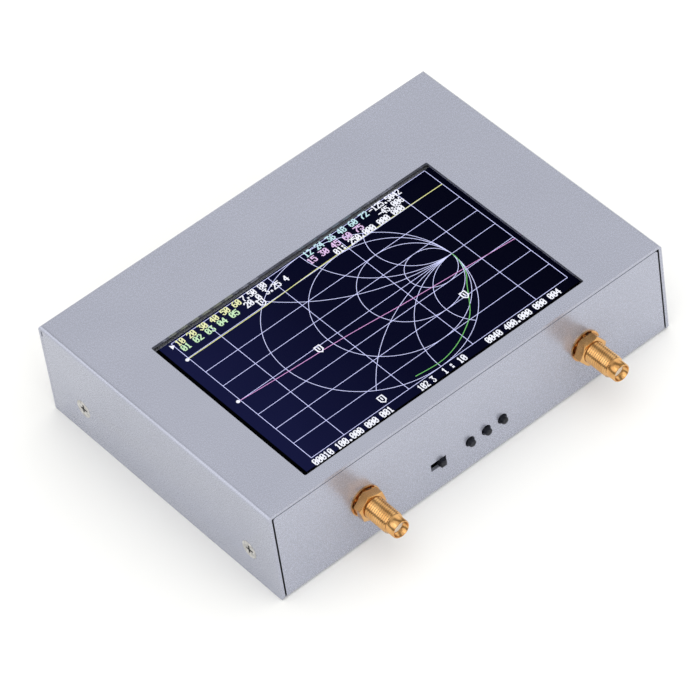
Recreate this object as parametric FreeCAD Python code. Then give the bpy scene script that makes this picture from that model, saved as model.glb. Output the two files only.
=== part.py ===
"""Handheld antenna analyzer in a folded sheet-metal case, built piece by piece in millimetres.

The origin is the centre of the case's underside. +X runs to the right along the front panel,
+Y to the back and +Z up. The front panel, with its two coaxial jacks, looks along -Y.
"""
import FreeCAD, Part
import math
import os
from FreeCAD import Vector

# Case
CASE_W = 132.4
CASE_D = 95.2
CASE_H = 31.6
SHEET = 1.0
BEND_IN = 0.4
COVER_CORNER_R = 1.2
SEAM_W = 0.08
RELIEF_W = 0.5
RELIEF_TOP = 1.3
RELIEF_H = 1.9
PANEL_SIDE_GAP = 0.42
PANEL_TOP_GAP = 0.25
PANEL_CORNER_R = 1.0
FLANGE_GAP = 0.1
FLANGE_H = 15.5
FLANGE_SETBACK = 3.2
TRAY_REAR_GAP = 0.3

# Window in the top of the cover
WINDOW_LEFT = 15.85
WINDOW_RIGHT = 22.75
WINDOW_D = 62.7
WINDOW_FRONT = 4.6
WINDOW_R = 0.4

# Countersunk and pan screws, metric 3 mm
SCREW_R = 1.5
THREAD_FIT = 0.02
HEAD_R = 2.75
SEAT_FIT = 0.05
PASS_FIT = 0.1
RECESS_REACH = 1.55
RECESS_TIP = 0.6
RECESS_W = 0.55
RECESS_DEPTH = 1.1
SIDE_SCREW_LENGTH = 6.0
SIDE_SCREW_Z = 10.65
SIDE_SCREW_FRONT = 11.6
SIDE_SCREW_REAR = 14.7
FLOOR_SCREW_LENGTH = 5.0
PAN_HEAD_R = 2.6
PAN_HEAD_H = 1.8
PAN_SCREW_LENGTH = 4.0
NUT_AF = 5.5
NUT_H = 2.4

# Boards and the posts that carry them
BOARD_T = 1.6
BOARD_CORNER_R = 2.0
BOARD_SIDE_GAP = 2.4
BOARD_REAR_GAP = 1.0
POST_AF = 5.0
POST_SIDE = 5.5
POST_FRONT = 8.6
POST_REAR = 10.9
POST_BORE = 6.0
STUD_LENGTH = 2.8
POST_HOLE_R = 1.6

# Display stack, from the window down
GASKET_T = 0.5
GASKET_W = 1.0
GASKET_SETBACK = 0.3
TOUCH_T = 0.7
TOUCH_EDGE = 0.4
LIP_T = 0.25
MODULE_R = 0.6
MODULE_LEFT = 1.7
MODULE_RIGHT = 3.7
MODULE_FRONT = 1.8
MODULE_REAR = 3.2
LIP_LEFT = 0.7
LIP_RIGHT = 1.3
LIP_FRONT = 1.6
LIP_REAR = 0.1
LCD_T = 1.2
LCD_EDGE = 0.2
GUIDE_T = 2.0
TAPE_T = 0.5
TAPE_W = 4.0
TAPE_INSET = 1.0
RIBBON_W = 30.0
RIBBON_T = 0.2
RIBBON_DROP = 0.5
RIBBON_BEND_R = 0.8
RIBBON_RUN = 1.4
RIBBON_SLOPE = 2.0
RIBBON_SLOT_FIT = 0.3
RIBBON_SOCKET_W = 34.0
RIBBON_SOCKET_D = 4.2
RIBBON_SOCKET_H = 1.9
RIBBON_ENTRY = 1.5
RIBBON_ENTRY_Z = 0.9
RIBBON_LEVEL = 0.8
LATCH_W = 1.1
LATCH_DROP = 0.5

# Coaxial jacks with a quarter-inch thread
JACK_PITCH = 74.8
JACK_X = 0.5
JACK_Z = 15.2
JACK_R = 3.175
JACK_REACH = 14.4
JACK_PILOT_R = 2.7
JACK_PILOT = 2.8
JACK_CHAMFER = 0.2
JACK_MOUTH_R = 2.3
JACK_MOUTH = 1.9
JACK_CORE_R = 2.05
JACK_FLANGE = 6.35
JACK_FLANGE_T = 1.7
JACK_HOLE_FIT = 0.075
PRONG_W = 1.0
PRONG_H = 0.9
PRONG_LENGTH = 4.5
PIN_R = 0.635
PIN_BORE_R = 0.47
PIN_BORE = 3.0
PIN_SLOT_W = 0.2
PIN_SLOT = 2.2
TAB_W = 0.8
TAB_T = 0.4
TAB_LENGTH = 3.0
WASHER_R = 4.65
WASHER_BORE_R = 3.95
WASHER_T = 0.5
TOOTH_COUNT = 8
TOOTH_TIP_R = 3.3
TOOTH_W = 1.15
TOOTH_T = 0.3
TOOTH_TWIST = 25.0
TOOTH_ROOT = 0.15
TOOTH_FIT = 0.05
HEX_AF = 8.0
HEX_T = 2.65
HEX_BORE_FIT = 0.025
HEX_CHAMFER = 0.35
HEX_FACE_R = 3.95
HEX_TURN = {"left": -17.0, "right": 5.0}

# Push buttons and slide switch on their own small board
CONTROL_DROP = 3.5
KEY_BOARD_T = 1.2
KEY_BOARD_GAP = 3.9
KEY_BOARD_MARGIN = 2.2
KEY_BOARD_DROP = 1.6
BUTTON_PITCH = 5.5
BUTTON_X = 3.4
BUTTON_HOLE_R = 1.55
BUTTON_CAP_R = 1.08
BUTTON_CAP_EDGE = 0.2
BUTTON_REACH = 1.35
BUTTON_TRAVEL = 0.25
BUTTON_BODY = 4.5
BUTTON_BODY_D = 3.3
BUTTON_LID = 0.3
BUTTON_LID_FIT = 0.08
COLLAR_R = 1.45
COLLAR_T = 0.6
COLLAR_BORE_FIT = 0.3
BUTTON_STOP_GAP = 0.1
DOME_R = 1.6
DOME_FLAT_R = 0.6
DOME_H = 0.32
LEG_W = 0.7
LEG_T = 0.3
LEG_LENGTH = 1.0
LEG_SPREAD = 3.0
SLOT_X = -12.8
SLOT_H = 2.55
SLOT_END_FIT = 0.6
LEVER_W = 1.9
LEVER_H = 2.0
LEVER_REACH = 1.15
LEVER_TRAVEL = 2.0
LEVER_EDGE = 0.25
LEVER_FIT = 0.12
SWITCH_W = 8.6
SWITCH_H = 3.7
SWITCH_D = 3.5
SWITCH_SHELL = 0.3
SWITCH_BASE_T = 0.8
SHOE_W = 5.0
TERMINAL_COUNT = 3
TERMINAL_PITCH = 2.5

# Row connectors between the boards
PIN_PITCH = 2.54
PIN_SIDE = 0.64
HEADER_W = 2.5
HEADER_H = 2.54
HEADER_NOTCH = 0.5
LINK_PINS = 10
LINK_Y = 30.0
LINK_PIN_LENGTH = 6.0
LINK_GROOVE_FIT = 0.1
KEY_PINS = 6

# Parts on the main board
CAN_W = 26.0
CAN_D = 28.0
CAN_H = 3.2
CAN_T = 0.25
CAN_R = 1.0
CAN_FRONT = 10.0
CAN_SLOT_COUNT = 3
CAN_SLOT_PITCH = 5.0
CAN_SLOT_W = 1.0
CAN_SLOT_LENGTH = 14.0
CHIP_SIDE = 7.0
CHIP_T = 0.9
CHIP_CORNER = 0.8
CHIP_X = 2.0
CHIP_Y = 6.0
SYNTH_SIDE = 5.0
SYNTH_T = 0.9
SYNTH_PITCH = 11.0
SYNTH_X = 0.5
SYNTH_Y = -14.0
OSC_W = 5.0
OSC_D = 3.2
OSC_H = 1.2
OSC_R = 0.6
OSC_Y = -5.0
COIL_SIDE = 6.0
COIL_H = 3.0
COIL_R = 1.4
COIL_X = 24.0
COIL_Y = 26.0
CAP_W = 1.25
CAP_D = 2.0
CAP_H = 1.2
CAP_PITCH = 2.6
CAP_COUNT = 8
CAP_Y = 16.0

# Charging socket in the back wall
USB_X = 0.0
USB_W = 8.94
USB_H = 3.26
USB_SHELL = 0.3
USB_LENGTH = 7.3
USB_INSET = 0.2
USB_FIT = 0.3
USB_TONGUE_W = 6.7
USB_TONGUE_T = 0.7
USB_TONGUE_SETBACK = 0.8
USB_BASE_T = 2.2
USB_BASE_FIT = 0.03
USB_FOOT_W = 1.2
USB_FOOT_T = 0.35
USB_FOOT_D = 1.6

# Battery and its leads
CELL_W = 62.0
CELL_D = 52.0
CELL_T = 7.0
CELL_R = 2.6
CELL_X = -12.0
CELL_Y = 2.0
PAD_T = 0.6
PAD_INSET = 6.0
GUARD_T = 1.2
GUARD_D = 40.0
GUARD_H = 4.0
LEAD_T = 1.4
LEAD_W = 3.0
LEAD_BEND_R = 2.2
LEAD_RUN = 1.8
LEAD_SLOPE = 6.0
PLUG_FIT = 0.1
PLUG_TAIL = 1.5
SOCKET_LENGTH = 7.6
SOCKET_W = 7.9
SOCKET_H = 4.8
SOCKET_WALL = 0.8
SOCKET_FLOOR = 1.2

# Levels and faces that follow from the sizes above
BEND_OUT = BEND_IN + SHEET
LEFT = -CASE_W / 2
RIGHT = CASE_W / 2
FRONT = -CASE_D / 2
REAR = CASE_D / 2
PANEL_BACK = FRONT + SHEET
PANEL_HALF_W = CASE_W / 2 - SHEET - PANEL_SIDE_GAP
PANEL_TOP = CASE_H - SHEET - PANEL_TOP_GAP
FLANGE_OUT = CASE_W / 2 - SHEET - FLANGE_GAP
TRAY_REAR = REAR - SHEET - TRAY_REAR_GAP
COVER_UNDER = CASE_H - SHEET
TOUCH_TOP = COVER_UNDER - GASKET_T
LIP_TOP = TOUCH_TOP - TOUCH_T
LCD_TOP = LIP_TOP - LIP_T
LCD_UNDER = LCD_TOP - LCD_T
MODULE_UNDER = LCD_UNDER - GUIDE_T
DISPLAY_BOARD_TOP = MODULE_UNDER - TAPE_T
DISPLAY_BOARD_UNDER = DISPLAY_BOARD_TOP - BOARD_T
MAIN_TOP = JACK_Z - TAB_T
MAIN_UNDER = MAIN_TOP - BOARD_T
CONTROL_Z = MAIN_UNDER - CONTROL_DROP
BOARD_FRONT = PANEL_BACK + JACK_FLANGE_T
BOARD_REAR = REAR - SHEET - BOARD_REAR_GAP
BOARD_HALF_W = FLANGE_OUT - SHEET - BOARD_SIDE_GAP
POST_X = BOARD_HALF_W - POST_SIDE
POST_YS = (FRONT + POST_FRONT, REAR - POST_REAR)
WIN_LEFT = LEFT + WINDOW_LEFT
WIN_RIGHT = RIGHT - WINDOW_RIGHT
WIN_FRONT = FRONT + WINDOW_FRONT
WIN_REAR = WIN_FRONT + WINDOW_D
MODULE_XS = (WIN_LEFT - MODULE_LEFT, WIN_RIGHT + MODULE_RIGHT)
MODULE_YS = (WIN_FRONT - MODULE_FRONT, WIN_REAR + MODULE_REAR)
MODULE_Y = (MODULE_YS[0] + MODULE_YS[1]) / 2
JACK_XS = {"left": JACK_X - JACK_PITCH / 2, "right": JACK_X + JACK_PITCH / 2}
BUTTON_XS = {"left": BUTTON_X - BUTTON_PITCH, "middle": BUTTON_X, "right": BUTTON_X + BUTTON_PITCH}
SIDE_SCREW_YS = (FRONT + SIDE_SCREW_FRONT, REAR - SIDE_SCREW_REAR)
KEY_BOARD_FRONT = PANEL_BACK + KEY_BOARD_GAP
KEY_BOARD_BACK = KEY_BOARD_FRONT + KEY_BOARD_T
SWITCH_FACE = KEY_BOARD_FRONT - SWITCH_D
BUTTON_FACE = KEY_BOARD_FRONT - BUTTON_BODY_D
SLOT_W = LEVER_W + LEVER_TRAVEL + 2 * SLOT_END_FIT
LEVER_REST_X = SLOT_X + LEVER_TRAVEL / 2
HEX_START = WASHER_T + WASHER_T
USB_MOUTH = REAR - USB_INSET
USB_Z = MAIN_TOP + USB_H / 2
CELL_Z = SHEET + PAD_T
CELL_END = CELL_X + CELL_W / 2
PLUG_Z = MAIN_UNDER - SOCKET_H / 2
BEYOND = 5.0
TINY = 1e-6

UP = Vector(0, 0, 1)
OUTWARD = Vector(0, -1, 0)


def in_xy(first, second):
    """Point of a flat profile that lies level."""
    return Vector(first, second, 0)


def in_xz(first, second):
    """Point of a flat profile seen from the front."""
    return Vector(first, 0, second)


def in_yz(first, second):
    """Point of a flat profile seen from the side."""
    return Vector(0, first, second)


def outline(corners):
    """Closed wire through (point, radius) corners, each rounded by its own radius."""
    starts = []
    ends = []
    arcs = []
    for index, (corner, radius) in enumerate(corners):
        before = (corners[index - 1][0] - corner).normalize()
        after = (corners[(index + 1) % len(corners)][0] - corner).normalize()
        half = before.getAngle(after) / 2
        reach = radius / math.tan(half)
        starts.append(corner + before * reach)
        ends.append(corner + after * reach)
        if radius == 0:
            arcs.append(None)
            continue
        inward = (before + after).normalize()
        middle = corner + inward * (radius / math.sin(half) - radius)
        arcs.append(Part.Arc(starts[index], middle, ends[index]).toShape())
    edges = []
    for index, arc in enumerate(arcs):
        following = starts[(index + 1) % len(corners)]
        if arc is not None:
            edges.append(arc)
        if ends[index].distanceToPoint(following) > TINY:
            edges.append(Part.LineSegment(ends[index], following).toShape())
    return Part.Wire(edges)


def rectangle(plane, firsts, seconds, radius=0):
    """Four corners of a rectangle in a plane, all with one radius."""
    return [
        (plane(firsts[0], seconds[0]), radius),
        (plane(firsts[1], seconds[0]), radius),
        (plane(firsts[1], seconds[1]), radius),
        (plane(firsts[0], seconds[1]), radius),
    ]


def prism(corners, shift, length):
    """Solid drawn straight out of an outline."""
    solid = Part.Face(outline(corners)).extrude(length)
    solid.translate(shift)
    return solid


def block(xs, ys, zs, radius=0):
    """Upright block between pairs of limits, with its four upright edges rounded."""
    return prism(rectangle(in_xy, xs, ys, radius), UP * zs[0], UP * (zs[1] - zs[0]))


def about(centre, size):
    """Pair of limits that lie evenly about a centre."""
    return (centre - size / 2, centre + size / 2)


def grown(span, by):
    """Pair of limits moved apart, or together for a negative amount."""
    return (span[0] - by, span[1] + by)


def aimed(solid, foot, direction):
    """Solid made about the origin, set on a foot with its Z axis turned to a direction."""
    solid.Placement = FreeCAD.Placement(foot, FreeCAD.Rotation(UP, direction))
    return solid


def turned(profile, foot, direction):
    """Solid turned from (radius, distance) points about an axis that starts at foot."""
    corners = [(in_xz(radius, distance), 0) for radius, distance in profile]
    return aimed(Part.Face(outline(corners)).revolve(Vector(), UP, 360), foot, direction)


def rod(radius, start, end, foot, direction):
    """Plain round bar between two distances along an axis."""
    return turned([(0, start), (radius, start), (radius, end), (0, end)], foot, direction)


def hexagon(across_flats, turn):
    """Corners of a regular hexagon about the origin, lying level."""
    radius = across_flats / math.sqrt(3)
    angles = [math.radians(turn + 60 * index) for index in range(6)]
    return [(in_xy(radius * math.cos(angle), radius * math.sin(angle)), 0) for angle in angles]


def cross_recess(foot, direction):
    """Cutter for the cross in a screw head, narrowing as it goes down."""
    blade = [
        (in_xz(-RECESS_REACH, -BEYOND), 0),
        (in_xz(RECESS_REACH, -BEYOND), 0),
        (in_xz(RECESS_REACH, 0), 0),
        (in_xz(RECESS_TIP, RECESS_DEPTH), 0),
        (in_xz(-RECESS_TIP, RECESS_DEPTH), 0),
        (in_xz(-RECESS_REACH, 0), 0),
    ]
    first = prism(blade, Vector(0, -RECESS_W / 2, 0), Vector(0, RECESS_W, 0))
    second = first.copy()
    second.rotate(Vector(), UP, 90)
    return aimed(first.fuse(second), foot, direction)


def countersunk_screw(foot, direction, length):
    """Flat-topped screw whose head lies flush at foot and whose shank runs along direction."""
    profile = [(0, 0), (HEAD_R, 0), (SCREW_R, HEAD_R - SCREW_R), (SCREW_R, length), (0, length)]
    return turned(profile, foot, direction).cut(cross_recess(foot, direction))


def countersink(foot, direction):
    """Cutter for the seat and the passage of a countersunk screw."""
    seat = HEAD_R + SEAT_FIT
    passage = SCREW_R + PASS_FIT
    profile = [(0, -seat), (2 * seat, -seat), (passage, seat - passage), (passage, BEYOND), (0, BEYOND)]
    return turned(profile, foot, direction)


def mouth_radius(depth):
    """Bore radius that clears a countersunk head's cone at a depth below its top."""
    return max(SCREW_R, HEAD_R - depth) + SEAT_FIT


def side_screw_places():
    """Foot and inward direction of each screw in the side walls."""
    places = []
    for y in SIDE_SCREW_YS:
        places.append((Vector(LEFT, y, SIDE_SCREW_Z), Vector(1, 0, 0)))
        places.append((Vector(RIGHT, y, SIDE_SCREW_Z), Vector(-1, 0, 0)))
    return places


def post_places(z):
    """Feet of the four board posts at one level."""
    return [Vector(x, y, z) for x in (-POST_X, POST_X) for y in POST_YS]


def top_cover():
    """Top, two sides and back folded from one sheet, with a seam and a relief at each back corner."""
    sides = [
        (in_xz(LEFT, 0), 0),
        (in_xz(LEFT, CASE_H), BEND_OUT),
        (in_xz(RIGHT, CASE_H), BEND_OUT),
        (in_xz(RIGHT, 0), 0),
    ]
    back = [
        (in_yz(FRONT, 0), COVER_CORNER_R),
        (in_yz(FRONT, CASE_H), 0),
        (in_yz(REAR, CASE_H), BEND_OUT),
        (in_yz(REAR, 0), 0),
    ]
    inner_sides = [
        (in_xz(LEFT + SHEET, -BEYOND), 0),
        (in_xz(LEFT + SHEET, COVER_UNDER), BEND_IN),
        (in_xz(RIGHT - SHEET, COVER_UNDER), BEND_IN),
        (in_xz(RIGHT - SHEET, -BEYOND), 0),
    ]
    inner_back = [
        (in_yz(FRONT - BEYOND, -BEYOND), 0),
        (in_yz(FRONT - BEYOND, COVER_UNDER), 0),
        (in_yz(REAR - SHEET, COVER_UNDER), BEND_IN),
        (in_yz(REAR - SHEET, -BEYOND), 0),
    ]
    across = Vector(CASE_W + 2 * BEYOND, 0, 0)
    along = Vector(0, CASE_D + 2 * BEYOND, 0)
    at_left = Vector(LEFT - BEYOND, 0, 0)
    at_front = Vector(0, FRONT - BEYOND, 0)
    outer = prism(sides, at_front, along).common(prism(back, at_left, across))
    hollow = prism(inner_sides, at_front, along).common(prism(inner_back, at_left, across))
    cover = outer.cut(hollow)
    window_levels = (COVER_UNDER - BEYOND, CASE_H + BEYOND)
    window = block((WIN_LEFT, WIN_RIGHT), (WIN_FRONT, WIN_REAR), window_levels, WINDOW_R)
    cutters = [window, usb_opening()]
    cutters += [countersink(foot, direction) for foot, direction in side_screw_places()]
    wall_back = REAR - SHEET
    relief_top = CASE_H - RELIEF_TOP
    for wall in ((LEFT - BEYOND, LEFT + SHEET), (RIGHT - SHEET, RIGHT + BEYOND)):
        cutters.append(block(wall, (wall_back - SEAM_W, wall_back), (-BEYOND, relief_top)))
        cutters.append(block(wall, (wall_back - RELIEF_W, wall_back), (relief_top - RELIEF_H, relief_top)))
    return cover.cut(cutters)


def chassis_tray():
    """Floor, front panel and two side flanges folded from one sheet."""
    fold = [
        (in_yz(FRONT, PANEL_TOP), 0),
        (in_yz(FRONT, 0), BEND_OUT),
        (in_yz(TRAY_REAR, 0), 0),
        (in_yz(TRAY_REAR, SHEET), 0),
        (in_yz(PANEL_BACK, SHEET), BEND_IN),
        (in_yz(PANEL_BACK, PANEL_TOP), 0),
    ]
    panel_face = [
        (in_xz(-PANEL_HALF_W, 0), 0),
        (in_xz(PANEL_HALF_W, 0), 0),
        (in_xz(PANEL_HALF_W, PANEL_TOP), PANEL_CORNER_R),
        (in_xz(-PANEL_HALF_W, PANEL_TOP), PANEL_CORNER_R),
    ]
    inner = FLANGE_OUT - SHEET
    channel = [
        (in_xz(-FLANGE_OUT, FLANGE_H), 0),
        (in_xz(-FLANGE_OUT, 0), BEND_OUT),
        (in_xz(FLANGE_OUT, 0), BEND_OUT),
        (in_xz(FLANGE_OUT, FLANGE_H), 0),
        (in_xz(inner, FLANGE_H), 0),
        (in_xz(inner, SHEET), BEND_IN),
        (in_xz(-inner, SHEET), BEND_IN),
        (in_xz(-inner, FLANGE_H), 0),
    ]
    panel = prism(fold, Vector(-PANEL_HALF_W, 0, 0), Vector(2 * PANEL_HALF_W, 0, 0))
    panel = panel.common(prism(panel_face, Vector(0, FRONT, 0), Vector(0, CASE_D, 0)))
    flange_front = FRONT + FLANGE_SETBACK
    flanges = prism(channel, Vector(0, flange_front, 0), Vector(0, TRAY_REAR - flange_front, 0))
    tray = panel.fuse(flanges).removeSplitter()
    panel_cut = (FRONT - BEYOND, PANEL_BACK + BEYOND)
    cutters = [block(about(SLOT_X, SLOT_W), panel_cut, about(CONTROL_Z, SLOT_H))]
    for x in JACK_XS.values():
        cutters.append(rod(JACK_R + JACK_HOLE_FIT, -BEYOND, BEYOND, Vector(x, FRONT, JACK_Z), OUTWARD))
    for x in BUTTON_XS.values():
        cutters.append(rod(BUTTON_HOLE_R, -BEYOND, BEYOND, Vector(x, FRONT, CONTROL_Z), OUTWARD))
    for foot, direction in side_screw_places():
        cutters.append(rod(mouth_radius(SHEET + FLANGE_GAP), 0, BEYOND, foot, direction))
    for foot in post_places(0):
        cutters.append(countersink(foot, UP))
    return tray.cut(cutters)


def side_screws():
    """Four countersunk screws that hold the cover to the tray's flanges."""
    return [countersunk_screw(foot, direction, SIDE_SCREW_LENGTH) for foot, direction in side_screw_places()]


def flange_nuts():
    """Six-sided nuts pressed on the inner faces of the flanges."""
    seat = SHEET + FLANGE_GAP + SHEET
    bore = rod(SCREW_R + THREAD_FIT, seat, seat + NUT_H, Vector(), UP)
    nut = prism(hexagon(NUT_AF, 0), UP * seat, UP * NUT_H).cut(bore)
    return [aimed(nut.copy(), foot, direction) for foot, direction in side_screw_places()]


def floor_screws():
    """Four countersunk screws that hold the lower posts to the floor."""
    return [countersunk_screw(foot, UP, FLOOR_SCREW_LENGTH) for foot in post_places(0)]


def hex_post(foot, height):
    """Six-sided post standing on a point."""
    return prism(hexagon(POST_AF, 0), foot, UP * height)


def lower_posts():
    """Posts with a bore below and a stud above, between the floor and the main board."""
    mouth = mouth_radius(SHEET)
    bore = SCREW_R + THREAD_FIT
    hole = [(0, 0), (mouth, 0), (bore, mouth - bore), (bore, POST_BORE), (0, POST_BORE)]
    height = MAIN_UNDER - SHEET
    posts = []
    for foot in post_places(SHEET):
        post = hex_post(foot, height).cut(turned(hole, foot, UP))
        stud = rod(SCREW_R, height, height + BOARD_T + STUD_LENGTH, foot, UP)
        posts.append(post.fuse(stud))
    return posts


def upper_posts():
    """Threaded-through posts between the main board and the display board."""
    height = DISPLAY_BOARD_UNDER - MAIN_TOP
    posts = []
    for foot in post_places(MAIN_TOP):
        hole = rod(SCREW_R + THREAD_FIT, 0, height, foot, UP)
        posts.append(hex_post(foot, height).cut(hole))
    return posts


def display_screws():
    """Pan-head screws that hold the display board to the upper posts."""
    profile = [
        (0, -PAN_HEAD_H),
        (PAN_HEAD_R, -PAN_HEAD_H),
        (PAN_HEAD_R, 0),
        (SCREW_R, 0),
        (SCREW_R, PAN_SCREW_LENGTH),
        (0, PAN_SCREW_LENGTH),
    ]
    screws = []
    for foot in post_places(DISPLAY_BOARD_TOP):
        recess = cross_recess(foot + UP * PAN_HEAD_H, -UP)
        screws.append(turned(profile, foot, -UP).cut(recess))
    return screws


def circuit_board(under):
    """Board with rounded corners and a hole over each post."""
    xs = (-BOARD_HALF_W, BOARD_HALF_W)
    board = block(xs, (BOARD_FRONT, BOARD_REAR), (under, under + BOARD_T), BOARD_CORNER_R)
    holes = [rod(POST_HOLE_R, -BEYOND, BEYOND, foot, UP) for foot in post_places(under)]
    return board.cut(holes)


def display_gasket():
    """Foam frame between the cover and the touch panel, set back from the window."""
    inner_xs = grown((WIN_LEFT, WIN_RIGHT), GASKET_SETBACK)
    inner_ys = grown((WIN_FRONT, WIN_REAR), GASKET_SETBACK)
    frame = block(grown(inner_xs, GASKET_W), grown(inner_ys, GASKET_W), (TOUCH_TOP, COVER_UNDER))
    return frame.cut(block(inner_xs, inner_ys, (TOUCH_TOP, COVER_UNDER)))


def touch_panel():
    """Clear touch pane lying on the bezel's lip."""
    return block(grown(MODULE_XS, -TOUCH_EDGE), grown(MODULE_YS, -TOUCH_EDGE), (LIP_TOP, TOUCH_TOP), MODULE_R)


def display_bezel():
    """Thin folded frame round the display, open above and below, with a slot for the ribbon."""
    frame = block(MODULE_XS, MODULE_YS, (MODULE_UNDER, LIP_TOP), MODULE_R)
    room = block(grown(MODULE_XS, -LIP_T), grown(MODULE_YS, -LIP_T), (MODULE_UNDER - BEYOND, LCD_TOP))
    view = block(
        (WIN_LEFT + LIP_LEFT, WIN_RIGHT + LIP_RIGHT),
        (WIN_FRONT + LIP_FRONT, WIN_REAR + LIP_REAR),
        (LCD_TOP - BEYOND, LIP_TOP + BEYOND),
    )
    ribbon_way = block(
        (MODULE_XS[1] - BEYOND, MODULE_XS[1] + BEYOND),
        grown(about(MODULE_Y, RIBBON_W), RIBBON_SLOT_FIT),
        grown(about(LCD_TOP - RIBBON_DROP, RIBBON_T), RIBBON_SLOT_FIT),
    )
    return frame.cut([room, view, ribbon_way])


def module_plate(under, top):
    """Plate that fills the bezel between two levels."""
    inset = LIP_T + LCD_EDGE
    return block(grown(MODULE_XS, -inset), grown(MODULE_YS, -inset), (under, top))


def display_tape():
    """Two foam strips between the display and its board."""
    xs = grown(MODULE_XS, -TAPE_INSET)
    levels = (DISPLAY_BOARD_TOP, MODULE_UNDER)
    front = block(xs, (MODULE_YS[0] + TAPE_INSET, MODULE_YS[0] + TAPE_INSET + TAPE_W), levels)
    rear = block(xs, (MODULE_YS[1] - TAPE_INSET - TAPE_W, MODULE_YS[1] - TAPE_INSET), levels)
    return [front, rear]


def strip(route, thickness):
    """Outline of a strip of even thickness along (point, bend radius) stations seen from the front."""
    points = [point for point, radius in route]
    headings = [(points[index + 1] - points[index]).normalize() for index in range(len(points) - 1)]
    normals = [Vector(-heading.z, 0, heading.x) for heading in headings]
    upper = []
    lower = []
    for index, (point, radius) in enumerate(route):
        before = normals[max(index - 1, 0)]
        after = normals[min(index, len(normals) - 1)]
        offset = (before + after) * (thickness / 2 / (1 + before.dot(after)))
        lean = thickness / 2 * math.copysign(1, before.cross(after).y) if radius else 0
        upper.append((point + offset, radius + lean))
        lower.append((point - offset, radius - lean))
    return upper + lower[::-1]


def ribbon_stations():
    """Places along X where the ribbon starts, bends down, levels out and ends."""
    start = MODULE_XS[1] - LIP_T - LCD_EDGE
    bend = MODULE_XS[1] + RIBBON_RUN
    level = bend + RIBBON_SLOPE
    return start, bend, level, level + RIBBON_LEVEL


def display_ribbon():
    """Flat flexible lead from the display's right edge down to its connector."""
    start, bend, level, socket = ribbon_stations()
    high = LCD_TOP - RIBBON_DROP
    low = DISPLAY_BOARD_TOP + RIBBON_ENTRY_Z
    route = [
        (in_xz(start, high), 0),
        (in_xz(bend, high), RIBBON_BEND_R),
        (in_xz(level, low), RIBBON_BEND_R),
        (in_xz(socket + RIBBON_ENTRY - RIBBON_T, low), 0),
    ]
    foot = Vector(0, MODULE_Y - RIBBON_W / 2, 0)
    return prism(strip(route, RIBBON_T), foot, Vector(0, RIBBON_W, 0))


def ribbon_connector():
    """Low connector with a mouth for the ribbon and a lower latch bar at its back."""
    start = ribbon_stations()[3]
    latch = start + RIBBON_SOCKET_D - LATCH_W
    top = RIBBON_SOCKET_H
    corners = [
        (in_xz(start, 0), 0),
        (in_xz(start + RIBBON_SOCKET_D, 0), 0),
        (in_xz(start + RIBBON_SOCKET_D, top - LATCH_DROP), 0),
        (in_xz(latch, top - LATCH_DROP), 0),
        (in_xz(latch, top), 0),
        (in_xz(start, top), 0),
    ]
    foot = Vector(0, MODULE_Y - RIBBON_SOCKET_W / 2, DISPLAY_BOARD_TOP)
    body = prism(corners, foot, Vector(0, RIBBON_SOCKET_W, 0))
    mouth = block(
        (start, start + RIBBON_ENTRY),
        grown(about(MODULE_Y, RIBBON_W), RIBBON_SLOT_FIT),
        grown(about(DISPLAY_BOARD_TOP + RIBBON_ENTRY_Z, RIBBON_T), RIBBON_SLOT_FIT),
    )
    return body.cut(mouth)


def header_body(count, x, ys, zs):
    """Row of joined eight-sided cells, one for each pin."""
    low = x - count * PIN_PITCH / 2
    near = []
    far = []
    for index in range(count):
        cell = low + index * PIN_PITCH
        near.append((in_xy(cell, ys[0] + HEADER_NOTCH), 0))
        near.append((in_xy(cell + HEADER_NOTCH, ys[0]), 0))
        near.append((in_xy(cell + PIN_PITCH - HEADER_NOTCH, ys[0]), 0))
        far.append((in_xy(cell, ys[1] - HEADER_NOTCH), 0))
        far.append((in_xy(cell + HEADER_NOTCH, ys[1]), 0))
        far.append((in_xy(cell + PIN_PITCH - HEADER_NOTCH, ys[1]), 0))
    high = low + count * PIN_PITCH
    near.append((in_xy(high, ys[0] + HEADER_NOTCH), 0))
    far.append((in_xy(high, ys[1] - HEADER_NOTCH), 0))
    return prism(near + far[::-1], UP * zs[0], UP * (zs[1] - zs[0]))


def pin_row(count, x):
    """Places along X of a row's pins."""
    return [x + (index - (count - 1) / 2) * PIN_PITCH for index in range(count)]


def link_header():
    """Pin header on the main board that carries the display board's signals."""
    levels = (MAIN_TOP, MAIN_TOP + HEADER_H)
    header = header_body(LINK_PINS, 0, about(LINK_Y, HEADER_W), levels)
    pin_levels = (MAIN_TOP, MAIN_TOP + LINK_PIN_LENGTH)
    pin_ys = about(LINK_Y, PIN_SIDE)
    pins = [block(about(x, PIN_SIDE), pin_ys, pin_levels) for x in pin_row(LINK_PINS, 0)]
    return header.fuse(pins).removeSplitter()


def link_socket():
    """Socket strip under the display board, with one groove over the pins."""
    levels = (MAIN_TOP + HEADER_H, DISPLAY_BOARD_UNDER)
    length = LINK_PINS * PIN_PITCH
    body = block(about(0, length), about(LINK_Y, HEADER_W), levels)
    groove = block(
        about(0, length - PIN_PITCH + PIN_SIDE + 2 * LINK_GROOVE_FIT),
        about(LINK_Y, PIN_SIDE + 2 * LINK_GROOVE_FIT),
        (levels[0] - BEYOND, MAIN_TOP + LINK_PIN_LENGTH + LINK_GROOVE_FIT),
    )
    return body.cut(groove)


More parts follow.
